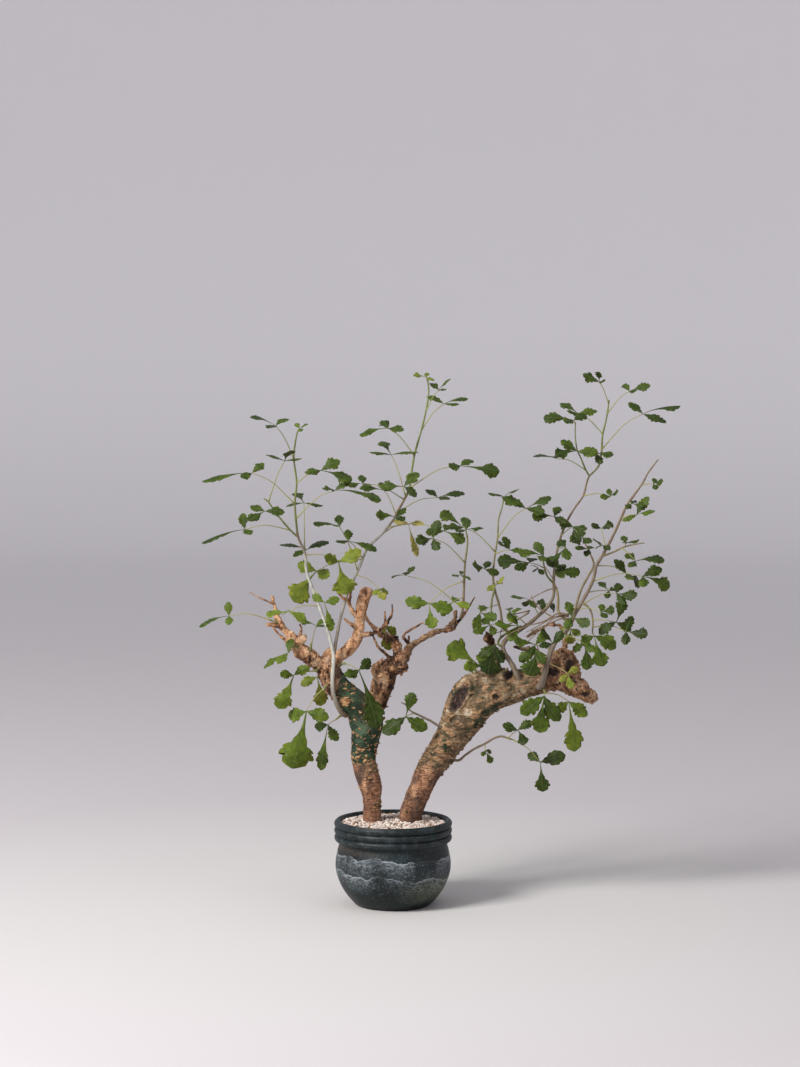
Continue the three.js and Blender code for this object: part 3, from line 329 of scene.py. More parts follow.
            [221, 360, 275, 366, -10, 305, 354, 297, 373, 276, 354, 60, 1],
            [210, 336, 246, 347, -14, 269, 345, 250, 358, 262, 341, 55, 0.9],
            [214, 348, 238, 350, 10, 228, 360, 241, 342, 247, 352, 45, 0.7],
            [204, 330, 229, 326, -16, 244, 329, 232, 335, 238, 324, 60, 0.7],
            [220, 318, 246, 315, -8, 253, 341, 227, 302, 263, 306, 65, 0.9],
            [220, 310, 257, 305, -12, 281, 302, 256, 290, 264, 322, 60, 0.9],
            [220, 303, 222, 300, -8, 232, 266, 246, 286, 212, 291, 75, 1.1],
            [201, 325, 197, 321, -12, 217, 312, 184, 334, 190, 308, 65, 0.9],
            [188, 303, 196, 308, 14, 195, 291, 205, 300, 186, 305, 75, 0.8],
            [186, 301, 211, 291, -12, 214, 262, 203, 284, 220, 280, 65, 0.9],
            [171, 270, 193, 258, -12, 197, 241, 205, 264, 184, 249, 75, 0.7],
            [180, 294, 176, 291, -12, 163, 306, 187, 306, 160, 295, 50, 0.8],
            [175, 284, 157, 290, -8, 133, 294, 170, 303, 150, 277, 55, 0.9],
            [172, 276, 158, 284, -14, 149, 256, 140, 270, 164, 268, 80, 1],
        ],
    },
    "leaves_under": {
        "stems": [[[164, 246, -8, 3], [167, 239, -16, 1.6], [169, 236, -18, 1.2]]],
        "leaves": [
            [168, 238, 167, 233, -2, 162, 192, 141, 213, 178, 202, 80, 1.2],
            [169, 237, 194, 227, 8, 201, 171, 180, 217, 215, 211, 75, 1],
        ],
    },
    "twig_low_right": {
        "stems": [
            [
                [62, 164, 0, 2.2], [72, 161, -1, 1.6], [80, 167, -3, 1.4], [90, 174, -5, 1.3],
                [102, 180, -7, 1.3], [112, 186, -9, 1.2], [120, 188, -10, 1.2], [127, 186, -11, 1.1],
                [133, 184, -12, 0.9],
            ],
        ],
        "leaves": [
            [127, 186, 138, 195, -6, 146, 179, 121, 201, 154, 205, 65, 0.9],
            [133, 184, 163, 159, 4, 166, 126, 155, 172, 191, 167, 70, 1],
            [102, 179, 102, 172, -4, 109, 158, 105, 167, 98, 166, 60, 0.5],
        ],
    },
    "twig_low_left": {
        "stems": [
            [
                [62, 194, -8, 2.4], [50, 200, -14, 1.6], [42, 205, -16, 1.5], [36, 208, -17, 1.4],
                [28, 212, -18, 1.2], [20, 216, -19, 1], [14, 223, -20, 0.8], [9, 226, -21, 0.7],
            ],
        ],
        "leaves": [[24, 214, 14, 210, -6, 22, 237, -8, 187, 38, 196, 75, 0.9]],
    },
    "leaf_big_low": {
        "stems": [[[-66, 250, -6, 2.4], [-73, 245, -14, 1.6], [-76, 242, -16, 1.2]]],
        "leaves": [[-75, 243, -96, 216, -4, -112, 152, -116, 211, -71, 209, 80, 1.3]],
    },
    "leaf_low_pair": {
        "stems": [[[-50, 212, -4, 2], [-58, 211, -6, 1.5], [-63, 207, -8, 1]]],
        "leaves": [[-63, 207, -72, 201, -4, -80, 150, -87, 199, -61, 183, 70, 1]],
    },
    "leaf_left_mid": {
        "stems": [[[-80, 268, -2, 3], [-84, 262, -9, 1.6], [-88, 261, -11, 1.2]]],
        "leaves": [[-88, 261, -110, 256, -4, -127, 219, -125, 257, -98, 272, 65, 0.9]],
    },
    "leaf_behind": {
        "stems": [[[-72, 256, 4, 3], [-80, 258, 12, 1.6], [-83, 256, 14, 1.2]]],
        "leaves": [[-82, 257, -84, 254, 4, -80, 222, -102, 245, -66, 248, 75, 0.9]],
    },
    "leaf_edge_on": {
        "stems": [[[-104, 287, -6, 3], [-107, 288, -13, 1.4], [-109, 287, -14, 1.1]]],
        "leaves": [[-108, 287, -116, 281, -6, -143, 264, -134, 273, -112, 297, 20, 0.9]],
    },
    "leaf_far_left": {
        "stems": [[[-124, 313, -6, 2], [-128, 315, -10, 1.2], [-134, 317, -12, 1]]],
        "leaves": [[-134, 317, -181, 322, -8, -214, 310, -182, 338, -181, 312, 50, 0.8, 10]],
    },
    "leaf_over_limb": {
        "stems": [[[-92, 279, -4, 3], [-91, 287, -11, 1.6], [-90, 292, -12, 1.1]]],
        "leaves": [[-90, 291, -85, 311, -2, -104, 318, -70, 315, -76, 310, 25, 0.7]],
    },
    "leaf_at_fork": {
        "stems": [[[-62, 266, -4, 3], [-56, 269, -12, 1.6], [-52, 269, -14, 1.2]]],
        "leaves": [[-52, 269, -38, 262, -8, -18, 197, -53, 255, -25, 274, 75, 1.1]],
    },
    "leaf_above_trunk": {
        "stems": [[[92, 246, -8, 3], [91, 259, -12, 1.4], [92, 262, -13, 1.2]]],
        "leaves": [[92, 261, 95, 267, -2, 60, 289, 78, 264, 100, 282, 70, 1.1]],
    },
    "leaf_behind_branch": {
        "stems": [[[-8, 300, 9, 2], [-8, 306, 14, 1.2], [-8, 309, 16, 1]]],
        "leaves": [[-8, 309, -9, 311, 2, -4, 284, 2, 300, -14, 298, 75, 0.8]],
    },
}


# How yellow each leaf is, from 0 for the deepest green to 1 for straw: of a spray, and of single leaves in it
TONE = {
    "shoot_left": (0.22, {10: 0.54, 11: 0.45, 12: 0.4, 0: 0.42}),
    "shoot_centre": (0.2, {0: 0.5, 12: 0.9, 15: 0.56, 16: 0.66}),
    "shoot_mid": (0.2, {0: 0.48, 2: 0.45}),
    "branch_high": (0.21, {18: 0.3, 19: 0.45, 20: 0.12}),
    "shoot_slim": (0.22, {5: 0.75, 6: 0.3}),
    "branch_front": (0.19, {2: 0.34, 18: 0.6, 19: 0.24, 20: 0.66, 22: 0.3}),
    "leaves_under": (0.26, {1: 0.5}),
    "twig_low_right": (0.18, {}),
    "twig_low_left": (0.24, {}),
    "leaf_big_low": (0.3, {}),
    "leaf_low_pair": (0.3, {}),
    "leaf_left_mid": (0.38, {}),
    "leaf_behind": (0.62, {}),
    "leaf_edge_on": (0.4, {}),
    "leaf_far_left": (0.3, {}),
    "leaf_over_limb": (0.3, {}),
    "leaf_at_fork": (0.16, {}),
    "leaf_above_trunk": (0.42, {}),
    "leaf_behind_branch": (0.72, {}),
}

# End leaflets that are broader or narrower than usual, by their leaf's number in its spray
BREADTH = {
    "shoot_left": {10: 1.5, 12: 0.62},
    "shoot_centre": {12: 0.5, 15: 1.25},
    "branch_high": {20: 1.5},
    "branch_front": {23: 1.65},
    "leaf_big_low": {0: 1.35},
    "leaf_low_pair": {0: 0.62},
    "leaf_above_trunk": {0: 1.3},
}

# How woody the stems of a spray are, from 0 for green over brown to 1 for pale bark: at the foot, at the
# tip, and how late along them they change. A tip far below 0 makes them green well before the tip.
WOODY = {
    "shoot_left": (1, -12, 8), "shoot_centre": (0.88, -8, 5), "shoot_mid": (0.55, 0.2, 1.5),
    "branch_high": (0.64, -0.1, 4), "shoot_slim": (0.5, 0.12, 1.5), "branch_front": (0.72, 0.52, 1),
    "twig_low_right": (0.6, 0.3, 2), "twig_low_left": (0.7, 0.6, 1),
}

# Bare twigs about 2 mm thick at the foot, as drawn points [x, z] that start on a stem
TWIGS = {
    "branch_front": [
        [[195, 319], [185, 319], [171, 313], [157, 307], [146, 299]],
        [[194, 322], [176, 320], [160, 311], [147, 304]],
        [[180, 352], [175, 365], [165, 380]],
        [[180, 353], [168, 350], [146, 338]],
        [[170, 268], [162, 280], [158, 293]],
        [[194, 323], [182, 325], [166, 316], [148, 311], [130, 303], [121, 295]],
        [[194, 324], [184, 323], [175, 318], [163, 307], [148, 293]],
        [[194, 325], [178, 321], [166, 327], [158, 334], [152, 345]],
    ],
    "branch_high": [
        [[150, 326], [134, 316], [121, 309], [118, 299]],
        [[134, 302], [126, 306], [112, 303]],
        [[151, 328], [138, 325], [125, 322]],
    ],
}
TWIG_RADII = (0.95, 0.4)


def seen(x, z, depth):
    """A drawn point moved along the line of sight to its depth."""
    return EYE + (np.array((x, 0.0, z)) - EYE) * ((depth - EYE[1]) / -EYE[1])


def unit(v):
    return v / np.linalg.norm(v)


def turned(degrees):
    """The upward normal of a face that is turned towards the eye."""
    radians = math.radians(degrees)
    return np.array((0.0, -math.sin(radians), math.cos(radians)))


# Meshes
class Shape:
    """Points and faces gathered into one piece. Each point has a tone and a place for its material."""

    def __init__(self):
        self.points = []
        self.faces = []
        self.slots = []
        self.tones = []
        self.places = []
        self.count = 0

    def add(self, points, faces, slot=0, tone=0.0, places=None):
        points = np.asarray(points, dtype=float)
        self.points.append(points)
        self.faces.extend([tuple(i + self.count for i in face) for face in faces])
        self.slots.extend([slot] * len(faces))
        self.tones.append(np.broadcast_to(np.asarray(tone, dtype=float), (len(points),)))
        self.places.append(points if places is None else np.asarray(places, dtype=float))
        self.count += len(points)

    def mesh(self, name):
        mesh = bpy.data.meshes.new(name)
        mesh.from_pydata((np.concatenate(self.points) * MM).tolist(), [], self.faces)
        mesh.polygons.foreach_set("material_index", self.slots)
        mesh.polygons.foreach_set("use_smooth", [True] * len(self.faces))
        mesh.attributes.new("tone", "FLOAT", "POINT").data.foreach_set("value", np.concatenate(self.tones))
        places = mesh.attributes.new("place", "FLOAT_VECTOR", "POINT")
        places.data.foreach_set("vector", np.concatenate(self.places).ravel())
        mesh.update()
        return mesh


def piece(mesh, materials, slot, *nodes):
    """An object for the mesh that rides on the root, takes the materials and stands for the nodes. The slot
    is not used.
    """
    obj = bpy.data.objects.new(mesh.name, mesh)
    bpy.context.collection.objects.link(obj)
    for material in materials:
        mesh.materials.append(material)
    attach(obj, "root")
    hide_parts(*nodes)


def smooth_path(rows, steps):
    """Rows of numbers with steps rows between each two, on a curve through all of them."""
    rows = np.asarray(rows, dtype=float)
    padded = np.vstack((2 * rows[0] - rows[1], rows, 2 * rows[-1] - rows[-2]))
    out = []
    for i in range(1, len(padded) - 2):
        a, b, c, d = padded[i - 1:i + 3]
        for k in range(steps):
            t = k / steps
            out.append(0.5 * (2 * b + (c - a) * t + (2 * a - 5 * b + 4 * c - d) * t**2
                              + (3 * b - a - 3 * c + d) * t**3))
    out.append(rows[-1])
    return np.array(out)


def bands(rings, sides, first=0):
    """Faces between rings of points that follow each other from a first point on."""
    faces = []
    for i in range(rings - 1):
        for k in range(sides):
            a, b = first + i * sides + k, first + i * sides + (k + 1) % sides
            faces.append((a, b, b + sides, a + sides))
    return faces


def tube(path, radii, sides):
    """Points and faces of a closed tube along a path, with a rounded end."""
    path = np.asarray(path)
    rings = []
    across = np.array((0.0, 1.0, 0.0))
    angles = 2 * math.pi * np.arange(sides) / sides
    for i, point in enumerate(path):
        along = unit(path[min(i + 1, len(path) - 1)] - path[max(i - 1, 0)])
        across = unit(across - along * across.dot(along))
        side = np.cross(along, across)
        rings.append(point + radii[i] * (np.outer(np.cos(angles), across) + np.outer(np.sin(angles), side)))
    end = path[-1] + unit(path[-1] - path[-2]) * (radii[-1] * 0.6)
    points = np.vstack(rings + [path[:1], end[None]])
    faces = bands(len(path), sides)
    last = (len(path) - 1) * sides
    start, stop = len(points) - 2, len(points) - 1
    for k in range(sides):
        following = (k + 1) % sides
        faces.append((start, following, k))
        faces.append((stop, last + k, last + following))
    return points, faces


def limb_path(rows, steps):
    """Places and radii along a limb that is drawn as rows of [x, z, depth, radius]."""
    rows = smooth_path(rows, steps)
    places = np.array([seen(x, z, depth) for x, z, depth, _ in rows])
    return places, np.maximum(rows[:, 3], 0.3)


# Materials
class Graph:
    """A node material under construction."""

    def __init__(self, name, **values):
        self.material = bpy.data.materials.new(name)
        self.material.use_nodes = True
        self.nodes = self.material.node_tree.nodes
        self.shader = self.nodes["Principled BSDF"]
        for key, value in values.items():
            self.shader.inputs[key.replace("_", " ")].default_value = value

    def put(self, target, value):
        if isinstance(value, bpy.types.NodeSocket):
            self.material.node_tree.links.new(value, target)
        elif value is not None:
            target.default_value = value

    def node(self, kind, inputs=None, output=0, **settings):
        node = self.nodes.new(kind)
        for key, value in settings.items():
            setattr(node, key, value)
        for key, value in (inputs or {}).items():
            self.put(node.inputs[key], value)
        return node.outputs[output]

    def attribute(self, name):
        """What the mesh stores at each point: its tone as a number, or its place as a vector."""
        return self.node("ShaderNodeAttribute", attribute_name=name, output=2 if name == "tone" else 1)

    def at(self, scale=(1, 1, 1)):
        """Where a point is in the object's own frame, stretched by scale."""
        place = self.node("ShaderNodeTexCoord", output=3)
        return self.node("ShaderNodeMapping", {"Vector": place, "Scale": scale})

    def noise(self, vector, scale, detail=4, rough=0.55, warp=0):
        inputs = {"Vector": vector, "Scale": scale, "Detail": detail, "Roughness": rough, "Distortion": warp}
        return self.node("ShaderNodeTexNoise", inputs)

    def cells(self, vector, scale):
        return self.node("ShaderNodeTexVoronoi", {"Vector": vector, "Scale": scale})

    def ramp(self, factor, *stops):
        node = self.nodes.new("ShaderNodeValToRGB")
        self.put(node.inputs[0], factor)
        elements = node.color_ramp.elements
        while len(elements) < len(stops):
            elements.new(0.5)
        for element, (place, value) in zip(elements, stops):
            element.position = place
            element.color = shade(value)
        return node.outputs[0]

    def mix(self, factor, a, b):
        node = self.nodes.new("ShaderNodeMix")
        node.data_type = "RGBA"
        self.put(node.inputs[0], factor)
        self.put(node.inputs[6], shade(a))
        self.put(node.inputs[7], shade(b))
        return node.outputs[2]

    def math(self, kind, a, b=None, c=None):
        node = self.nodes.new("ShaderNodeMath")
        node.operation = kind
        for socket, value in zip(node.inputs, (a, b, c)):
            self.put(socket, value)
        return node.outputs[0]

    def times(self, a, b):
        return self.math("MULTIPLY", a, b)

    def axis(self, vector, name):
        return self.node("ShaderNodeSeparateXYZ", {"Vector": vector}, "XYZ".index(name))

    def bump(self, height, strength, distance, normal=None):
        inputs = {"Height": height, "Strength": strength, "Distance": distance, "Normal": normal}
        return self.node("ShaderNodeBump", inputs)

    def finish(self, color, roughness=None, normal=None):
        self.put(self.shader.inputs["Base Color"], shade(color))
        self.put(self.shader.inputs["Roughness"], roughness)
        self.put(self.shader.inputs["Normal"], normal)
        return self.material


def shade(value):
    """A colour from eight-bit screen values or a grey from 0 to 1. Sockets pass through."""
    if isinstance(value, (int, float)):
        return (value, value, value, 1)
    if isinstance(value, tuple):
        linear = [v / 255 / 12.92 if v <= 10 else ((v / 255 + 0.055) / 1.055) ** 2.4 for v in value]
        return (*linear, 1)
    return value


def leaf_material():
    """Its tone runs from deep green to straw. Its place is (along the side veins, from the midrib, edge)."""
    g = Graph("leaf", Roughness=0.5, Specular_IOR_Level=0.17, Subsurface_Weight=0.06, Subsurface_Scale=0.002)
    place = g.attribute("place")
    rib = g.math("ABSOLUTE", g.axis(place, "Y"))
    edge = g.axis(place, "Z")
    blotch = g.noise(g.at(), 120, 3)
    # Older leaves turn yellow from the edge inwards and keep green along their veins
    drift = g.math("MULTIPLY_ADD", blotch, 0.34, g.math("MULTIPLY_ADD", edge, 0.14, -0.22))
    wave = g.math("ABSOLUTE", g.math("SINE", g.times(g.axis(place, "X"), math.pi)))
    side_vein = g.ramp(wave, (0, 1.0), (0.2, 0.0))
    midrib = g.ramp(rib, (0.1, 1.0), (0.42, 0.0))
    veins = g.math("MAXIMUM", midrib, g.times(side_vein, 0.5))
    color = g.ramp(
        g.math("ADD", g.attribute("tone"), drift), (0, (24, 36, 8)), (0.2, (48, 65, 14)), (0.4, (78, 97, 22)),
        (0.6, (108, 121, 38)), (0.78, (138, 136, 58)), (1, (178, 164, 98)),
    )
    shadow = g.ramp(g.noise(g.at(), 240, 4, 0.6), (0.36, 0.55), (0.56, 0.0))
    color = g.mix(shadow, color, g.mix(0.55, color, (18, 32, 8)))
    color = g.mix(g.times(veins, 0.26), color, (140, 154, 92))
    fine = g.noise(g.at(), 900, 3)
    normal = g.bump(g.math("MULTIPLY_ADD", veins, -1.0, fine), 0.4, 0.0006)
    return g.finish(color, g.ramp(blotch, (0.3, 0.42), (0.7, 0.58)), normal)


def stem_material():
    """Its tone runs from green over brown to pale grey bark."""
    g = Graph("stem", Specular_IOR_Level=0.3)
    tone = g.attribute("tone")
    streaks = g.noise(g.at((1, 1, 0.25)), 420, 5)
    color = g.ramp(
        tone, (0, (108, 120, 58)), (0.28, (120, 122, 72)), (0.5, (124, 104, 82)), (0.72, (124, 113, 100)),
        (1, (204, 206, 196)),
    )
    dark = g.times(g.ramp(streaks, (0.35, 1.0), (0.6, 0.0)), 0.5)
    color = g.mix(dark, color, (92, 80, 60))
    spots = g.ramp(g.cells(g.at(), 420), (0.12, 1.0), (0.2, 0.0))
    color = g.mix(g.times(spots, g.times(tone, 0.5)), color, (78, 62, 48))
    return g.finish(color, 0.62, g.bump(streaks, 0.4, 0.0006))


def stalk_material():
    g = Graph("stalk", Roughness=0.55, Specular_IOR_Level=0.3)
    color = g.ramp(g.attribute("tone"), (0, (106, 116, 58)), (0.5, (146, 146, 84)), (1, (176, 162, 108)))
    patches = g.noise(g.at(), 300, 2)
    color = g.mix(g.ramp(patches, (0.5, 0.0), (0.7, 0.7)), color, (132, 104, 70))
    return g.finish(color, None, g.bump(patches, 0.2, 0.0004))


def bark_material(name, living, scales):
    """Its tone is how dead the wood is. Its place is (how dark a wound or a hollow with painted shade is, how
    much a peeling scale, zone).

    The zone is 1 for smooth bark where the wood lives, and 1 for dark brown where it is dead.
    """
    g = Graph(name, Specular_IOR_Level=0.25)
    here = g.at()
    place = g.attribute("place")
    stretched = g.noise(g.at((1, 1, 0.35)), 95, 6, 0.6, 0.4)
    fine = g.noise(here, 520, 5, 0.65)
    patches = g.noise(here, 48, 6, 0.62)
    orange = g.ramp(
        stretched, (0.3, (88, 57, 42)), (0.41, (124, 84, 60)), (0.52, (164, 116, 84)),
        (0.66, (206, 160, 124)),
    )
    lines = g.ramp(g.noise(g.at((1, 1, 5)), 150, 5, 0.65), (0.38, 0.7), (0.48, 0.0))
    orange = g.mix(lines, orange, (80, 52, 40))
    wrinkles_and_highlights = g.noise(g.at((1, 1, 3)), 300, 6, 0.7)
    orange = g.mix(g.ramp(wrinkles_and_highlights, (0.4, 0.4), (0.5, 0.0)), orange, (88, 60, 46))
    # Painted highlight: pale streaks where the wrinkle noise is high
    orange = g.mix(g.ramp(wrinkles_and_highlights, (0.52, 0.0), (0.66, 0.55)), orange, (218, 180, 148))
    foot = g.ramp(g.times(g.axis(here, "Z"), 5), (0.46, 0.5), (0.63, 0.0))
    orange = g.mix(foot, orange, (92, 66, 56))
    grime = g.ramp(g.noise(g.at((1, 1, 0.5)), 60, 5, 0.6), (0.4, 0.85), (0.53, 0.0))
    orange = g.mix(grime, orange, (74, 58, 52))
    green = g.ramp(patches, *living)
    dark = g.ramp(g.noise(g.at((1, 1, 1.6)), 190, 6, 0.7), (0.36, 0.85), (0.47, 0.0))
    green = g.mix(dark, green, (44, 36, 26))
    dead = g.ramp(
        g.noise(g.at((1, 1, 0.6)), 130, 6, 0.65), (0.33, (52, 34, 24)), (0.41, (128, 88, 60)),
        (0.5, (198, 150, 112)), (0.66, (232, 196, 162)),
    )
    brown = g.ramp(
        g.noise(g.at((1, 1, 0.6)), 170, 6, 0.65), (0.38, (20, 13, 9)), (0.46, (68, 45, 30)),
        (0.54, (122, 86, 60)), (0.66, (192, 150, 110)),
    )
    zone = g.axis(place, "Z")
    color = g.mix(zone, green, orange)
    # Painted shade: pits in the dead wood, which the bump also sinks, are painted nearly black
    pits = g.ramp(g.cells(g.at((1, 1, 0.7)), 230), (0.18, 1.0), (0.3, 0.0))
    pits = g.times(pits, g.ramp(patches, (0.44, 0.1), (0.58, 1.0)))
    pits = g.times(pits, g.ramp(zone, (0.1, 0.0), (0.4, 1.0)))
    dry = g.mix(pits, g.mix(zone, dead, brown), (24, 16, 12))
    color = g.mix(g.attribute("tone"), color, dry)
    scale = g.mix(g.ramp(fine, (0.35, 0.0), (0.65, 1.0)), *scales)
    color = g.mix(g.axis(place, "Y"), color, scale)
    # Dark wound colour, used partly as painted shade in hollows and cavities
    wound_and_hollow_shade = g.ramp(
        g.noise(g.at((1, 1, 0.3)), 300, 5, 0.7), (0.38, (30, 22, 20)), (0.52, (66, 50, 45)),
        (0.66, (112, 88, 76)),
    )
    color = g.mix(g.axis(place, "X"), color, wound_and_hollow_shade)
    relief = g.math("SUBTRACT", g.math("SUBTRACT", stretched, lines), pits)
    normal = g.bump(fine, 0.6, 0.001, g.bump(relief, 0.8, 0.0015))
    return g.finish(color, g.ramp(fine, (0.3, 0.62), (0.7, 0.9)), normal)


def pot_material():
    g = Graph("slate_glaze", Specular_IOR_Level=0.3)
    here = g.at()
    height = g.axis(here, "Z")
    cloud = g.noise(here, 26, 6, 0.6)
    grain = g.noise(here, 420, 5, 0.6)
    slate = g.ramp(cloud, (0.34, (6, 13, 14)), (0.5, (14, 25, 27)), (0.66, (29, 43, 47)))
    slate = g.mix(g.ramp(grain, (0.5, 0.0), (0.75, 0.4)), slate, (84, 92, 96))
    # Two pale tide lines run round the belly: a bright winding crest, and foam that fades out under it
    broken = g.ramp(g.noise(g.at((1, 1, 2)), 210, 9, 0.8, 1.2), (0.46, 0.0), (0.54, 1.0))
    patchy = g.ramp(g.noise(here, 30, 4), (0.42, 0.08), (0.58, 1.0))
    lines = g.math("SUBTRACT", g.noise(g.at((1, 1, 2.2)), 150, 7, 0.7, 1.4), 0.5)
    lace = g.ramp(g.math("ABSOLUTE", lines), (0.0, 1.0), (0.022, 0.9), (0.045, 0.3))
    salt = None
    for middle, depth, swing, pace in ((0.0585, 0.017, 0.02, 17), (0.038, 0.014, 0.02, 23)):
        drift = g.math("MULTIPLY_ADD", g.noise(g.at((1, 1, 0.12)), pace, 9, 0.64), swing * 2, -swing)
        above = g.math("SUBTRACT", g.math("ADD", height, drift), middle)
        crest = g.ramp(g.math("MULTIPLY_ADD", above, 200, 0.5), (0.2, 0.0), (0.45, 0.9), (0.6, 0.0))
        foam = g.math("MULTIPLY_ADD", above, 0.5 / depth, 0.8)
        foam = g.ramp(foam, (0.1, 0.0), (0.6, 0.35), (0.78, 0.7), (0.8, 0))
        foam = g.times(g.times(foam, 1.5), g.times(broken, lace))
        foam = g.times(g.math("MAXIMUM", crest, foam), patchy)
        salt = foam if salt is None else g.math("MAXIMUM", salt, foam)
    color = g.mix(g.times(salt, 0.8), slate, (186, 194, 202))
    specks = g.ramp(g.cells(here, 300), (0.08, 0.9), (0.14, 0.0))
    belly = g.ramp(g.times(height, 10), (0.12, 0.0), (0.2, 1.0), (0.5, 1.0), (0.62, 0.0))
    color = g.mix(g.times(specks, belly), color, (176, 184, 188))
    scuffs = g.ramp(g.noise(here, 110, 7, 0.75), (0.5, 0.0), (0.72, 0.5))
    collar = g.ramp(g.times(height, 10), (0.7, 0.0), (0.73, 1.0))
    color = g.mix(g.times(scuffs, collar), color, (88, 98, 102))
    # An olive tint low on the right of the front, and rust just under the collar on the left
    right = g.ramp(g.math("MULTIPLY_ADD", g.axis(here, "X"), 6, 0.45), (0.45, 0.0), (0.8, 1.0))
    low = g.ramp(g.times(height, 10), (0.06, 0.0), (0.12, 1.0), (0.3, 0.8), (0.42, 0.0))
    olive = g.times(g.times(right, low), g.ramp(cloud, (0.35, 0.2), (0.6, 0.8)))
    color = g.mix(g.times(olive, 0.5), color, (78, 82, 58))
    color = g.mix(g.times(g.times(olive, broken), 0.6), color, (138, 142, 112))
    neck = g.ramp(g.times(height, 10), (0.6, 0.0), (0.66, 0.6), (0.73, 0.0))
    left = g.ramp(g.math("MULTIPLY_ADD", g.axis(here, "X"), -6, 0.45), (0.45, 0.0), (0.75, 1.0))
    color = g.mix(g.times(g.times(neck, left), broken), color, (78, 62, 50))
    foot = g.math("MULTIPLY_ADD", cloud, 0.08, g.times(height, 5))
    foot = g.ramp(foot, (0.06, 1.0), (0.16, 0.0))
    color = g.mix(g.times(foot, 0.55), color, (22, 26, 27))
    normal = g.bump(grain, 0.35, 0.0005, g.bump(cloud, 0.25, 0.002))
    roughness = g.math("MULTIPLY_ADD", salt, 0.3, g.ramp(cloud, (0.35, 0.42), (0.65, 0.6)))
    return g.finish(color, roughness, normal)


def soil_material():
    g = Graph("earth", Specular_IOR_Level=0.2)
    here = g.at()
    grain = g.noise(here, 460, 5, 0.7)
    color = g.ramp(grain, (0.3, (64, 48, 38)), (0.5, (120, 98, 82)), (0.7, (176, 156, 140)))
    return g.finish(color, 0.95, g.bump(grain, 0.8, 0.001))


def pumice_material():
    g = Graph("pumice", Specular_IOR_Level=0.25)
    tone = g.attribute("tone")
    pores = g.noise(g.at(), 1100, 4, 0.7)
    color = g.ramp(
        tone, (0, (88, 74, 66)), (0.06, (132, 116, 106)), (0.14, (190, 172, 160)), (0.5, (214, 200, 190)),
        (0.86, (236, 228, 222)), (0.97, (190, 140, 104)),
    )
    color = g.mix(g.ramp(pores, (0.3, 0.45), (0.55, 0.0)), color, (120, 98, 86))
    return g.finish(color, 0.92, g.bump(pores, 0.6, 0.0006))


# Pot and soil
RIDGES = ((71.5, 79.5), (79.5, 87.5), (87.5, POT_HEIGHT - 0.8))
RIDGE_DEPTH = 2.8
POT_SIDES = 144
SOIL_SIDES = 96
SOIL_RINGS = 30
GRAINS = 2600
GRAIN_KINDS = 24


def turned_solid(profile, sides, wobble=0.0):
    """A closed solid of revolution from a profile of (radius, height) that starts and ends on the axis."""
    ring = profile[1:-1]
    points = [(0, 0, profile[0][1])]
    for radius, height in ring:
        for k in range(sides):
            angle = 2 * math.pi * k / sides
            uneven = 1 - wobble * (0.5 + 0.5 * math.sin(2 * angle + height * 0.11))
            points.append((radius * uneven * math.cos(angle), radius * uneven * math.sin(angle), height))
    points.append((0, 0, profile[-1][1]))
    faces = bands(len(ring), sides, 1)
    last, end = 1 + (len(ring) - 1) * sides, len(points) - 1
    for k in range(sides):
        following = (k + 1) % sides
        faces.append((0, 1 + following, 1 + k))
        faces.append((end, last + k, last + following))
    return points, faces


def make_pot():
    belly = smooth_path(
        [(FOOT_RADIUS, 0), (49.5, 9), (57.5, 21), (62.8, 35), (64, 47), (62.4, 59), (60.2, 68)], 6,
    )
    # From the middle of the foot up the outside, over the lip, and down the inside to the floor
    profile = [(0, 1.2), (FOOT_RADIUS - 7, 1.2), (FOOT_RADIUS - 5.5, 0), (FOOT_RADIUS - 0.8, 0)]
    profile += [tuple(p) for p in belly[1:]] + [(61.2, 70.2)]
    for bottom, top in RIDGES:
        for t in (i / 7 for i in range(8)):
            bulge = RIDGE_DEPTH * math.sin(math.pi * t) ** 0.5
            profile.append((RIM_RADIUS - RIDGE_DEPTH + bulge, bottom + (top - bottom) * t))
    profile += [
        (RIM_RADIUS - 2.6, POT_HEIGHT - 0.3), (RIM_RADIUS - 4, POT_HEIGHT),
        (BORE_RADIUS + 1.8, POT_HEIGHT - 0.3), (BORE_RADIUS + 0.6, POT_HEIGHT - 1.6),
        (BORE_RADIUS, 89), (BORE_RADIUS, 86), (55, 70), (57.5, 47), (51, 21),
        (42, 7), (0, 7),
    ]
    shape = Shape()
    shape.add(*turned_solid(profile, POT_SIDES, 0.004))
    piece(shape.mesh("pot_stoneware"), [pot_material()], "stoneware", "pot")


def soil_height(x, y):
    share = math.hypot(x, y) / BORE_RADIUS
    ripple = noise.fractal(Vector((x, y, 0)) * 0.09, 1.0, 2.0, 3)
    return SOIL_EDGE_Z - 0.6 + SOIL_CROWN * (1 - share**2) + 0.9 * ripple


def stone(radius, chance):
    """Points and faces of one angular grain."""
    grain = bmesh.new()
    bmesh.ops.create_icosphere(grain, subdivisions=2, radius=1)
    squash = Vector((chance.uniform(0.75, 1.2), chance.uniform(0.7, 1.1), chance.uniform(0.55, 0.85)))
    seed = Vector((chance.random(), chance.random(), chance.random())) * 50
    points = [
        np.array(v.co * (1 + 0.42 * noise.noise(v.co * 1.4 + seed))) * radius * np.array(squash)
        for v in grain.verts
    ]
    faces = [tuple(v.index for v in f.verts) for f in grain.faces]
    grain.free()
    return np.array(points), faces


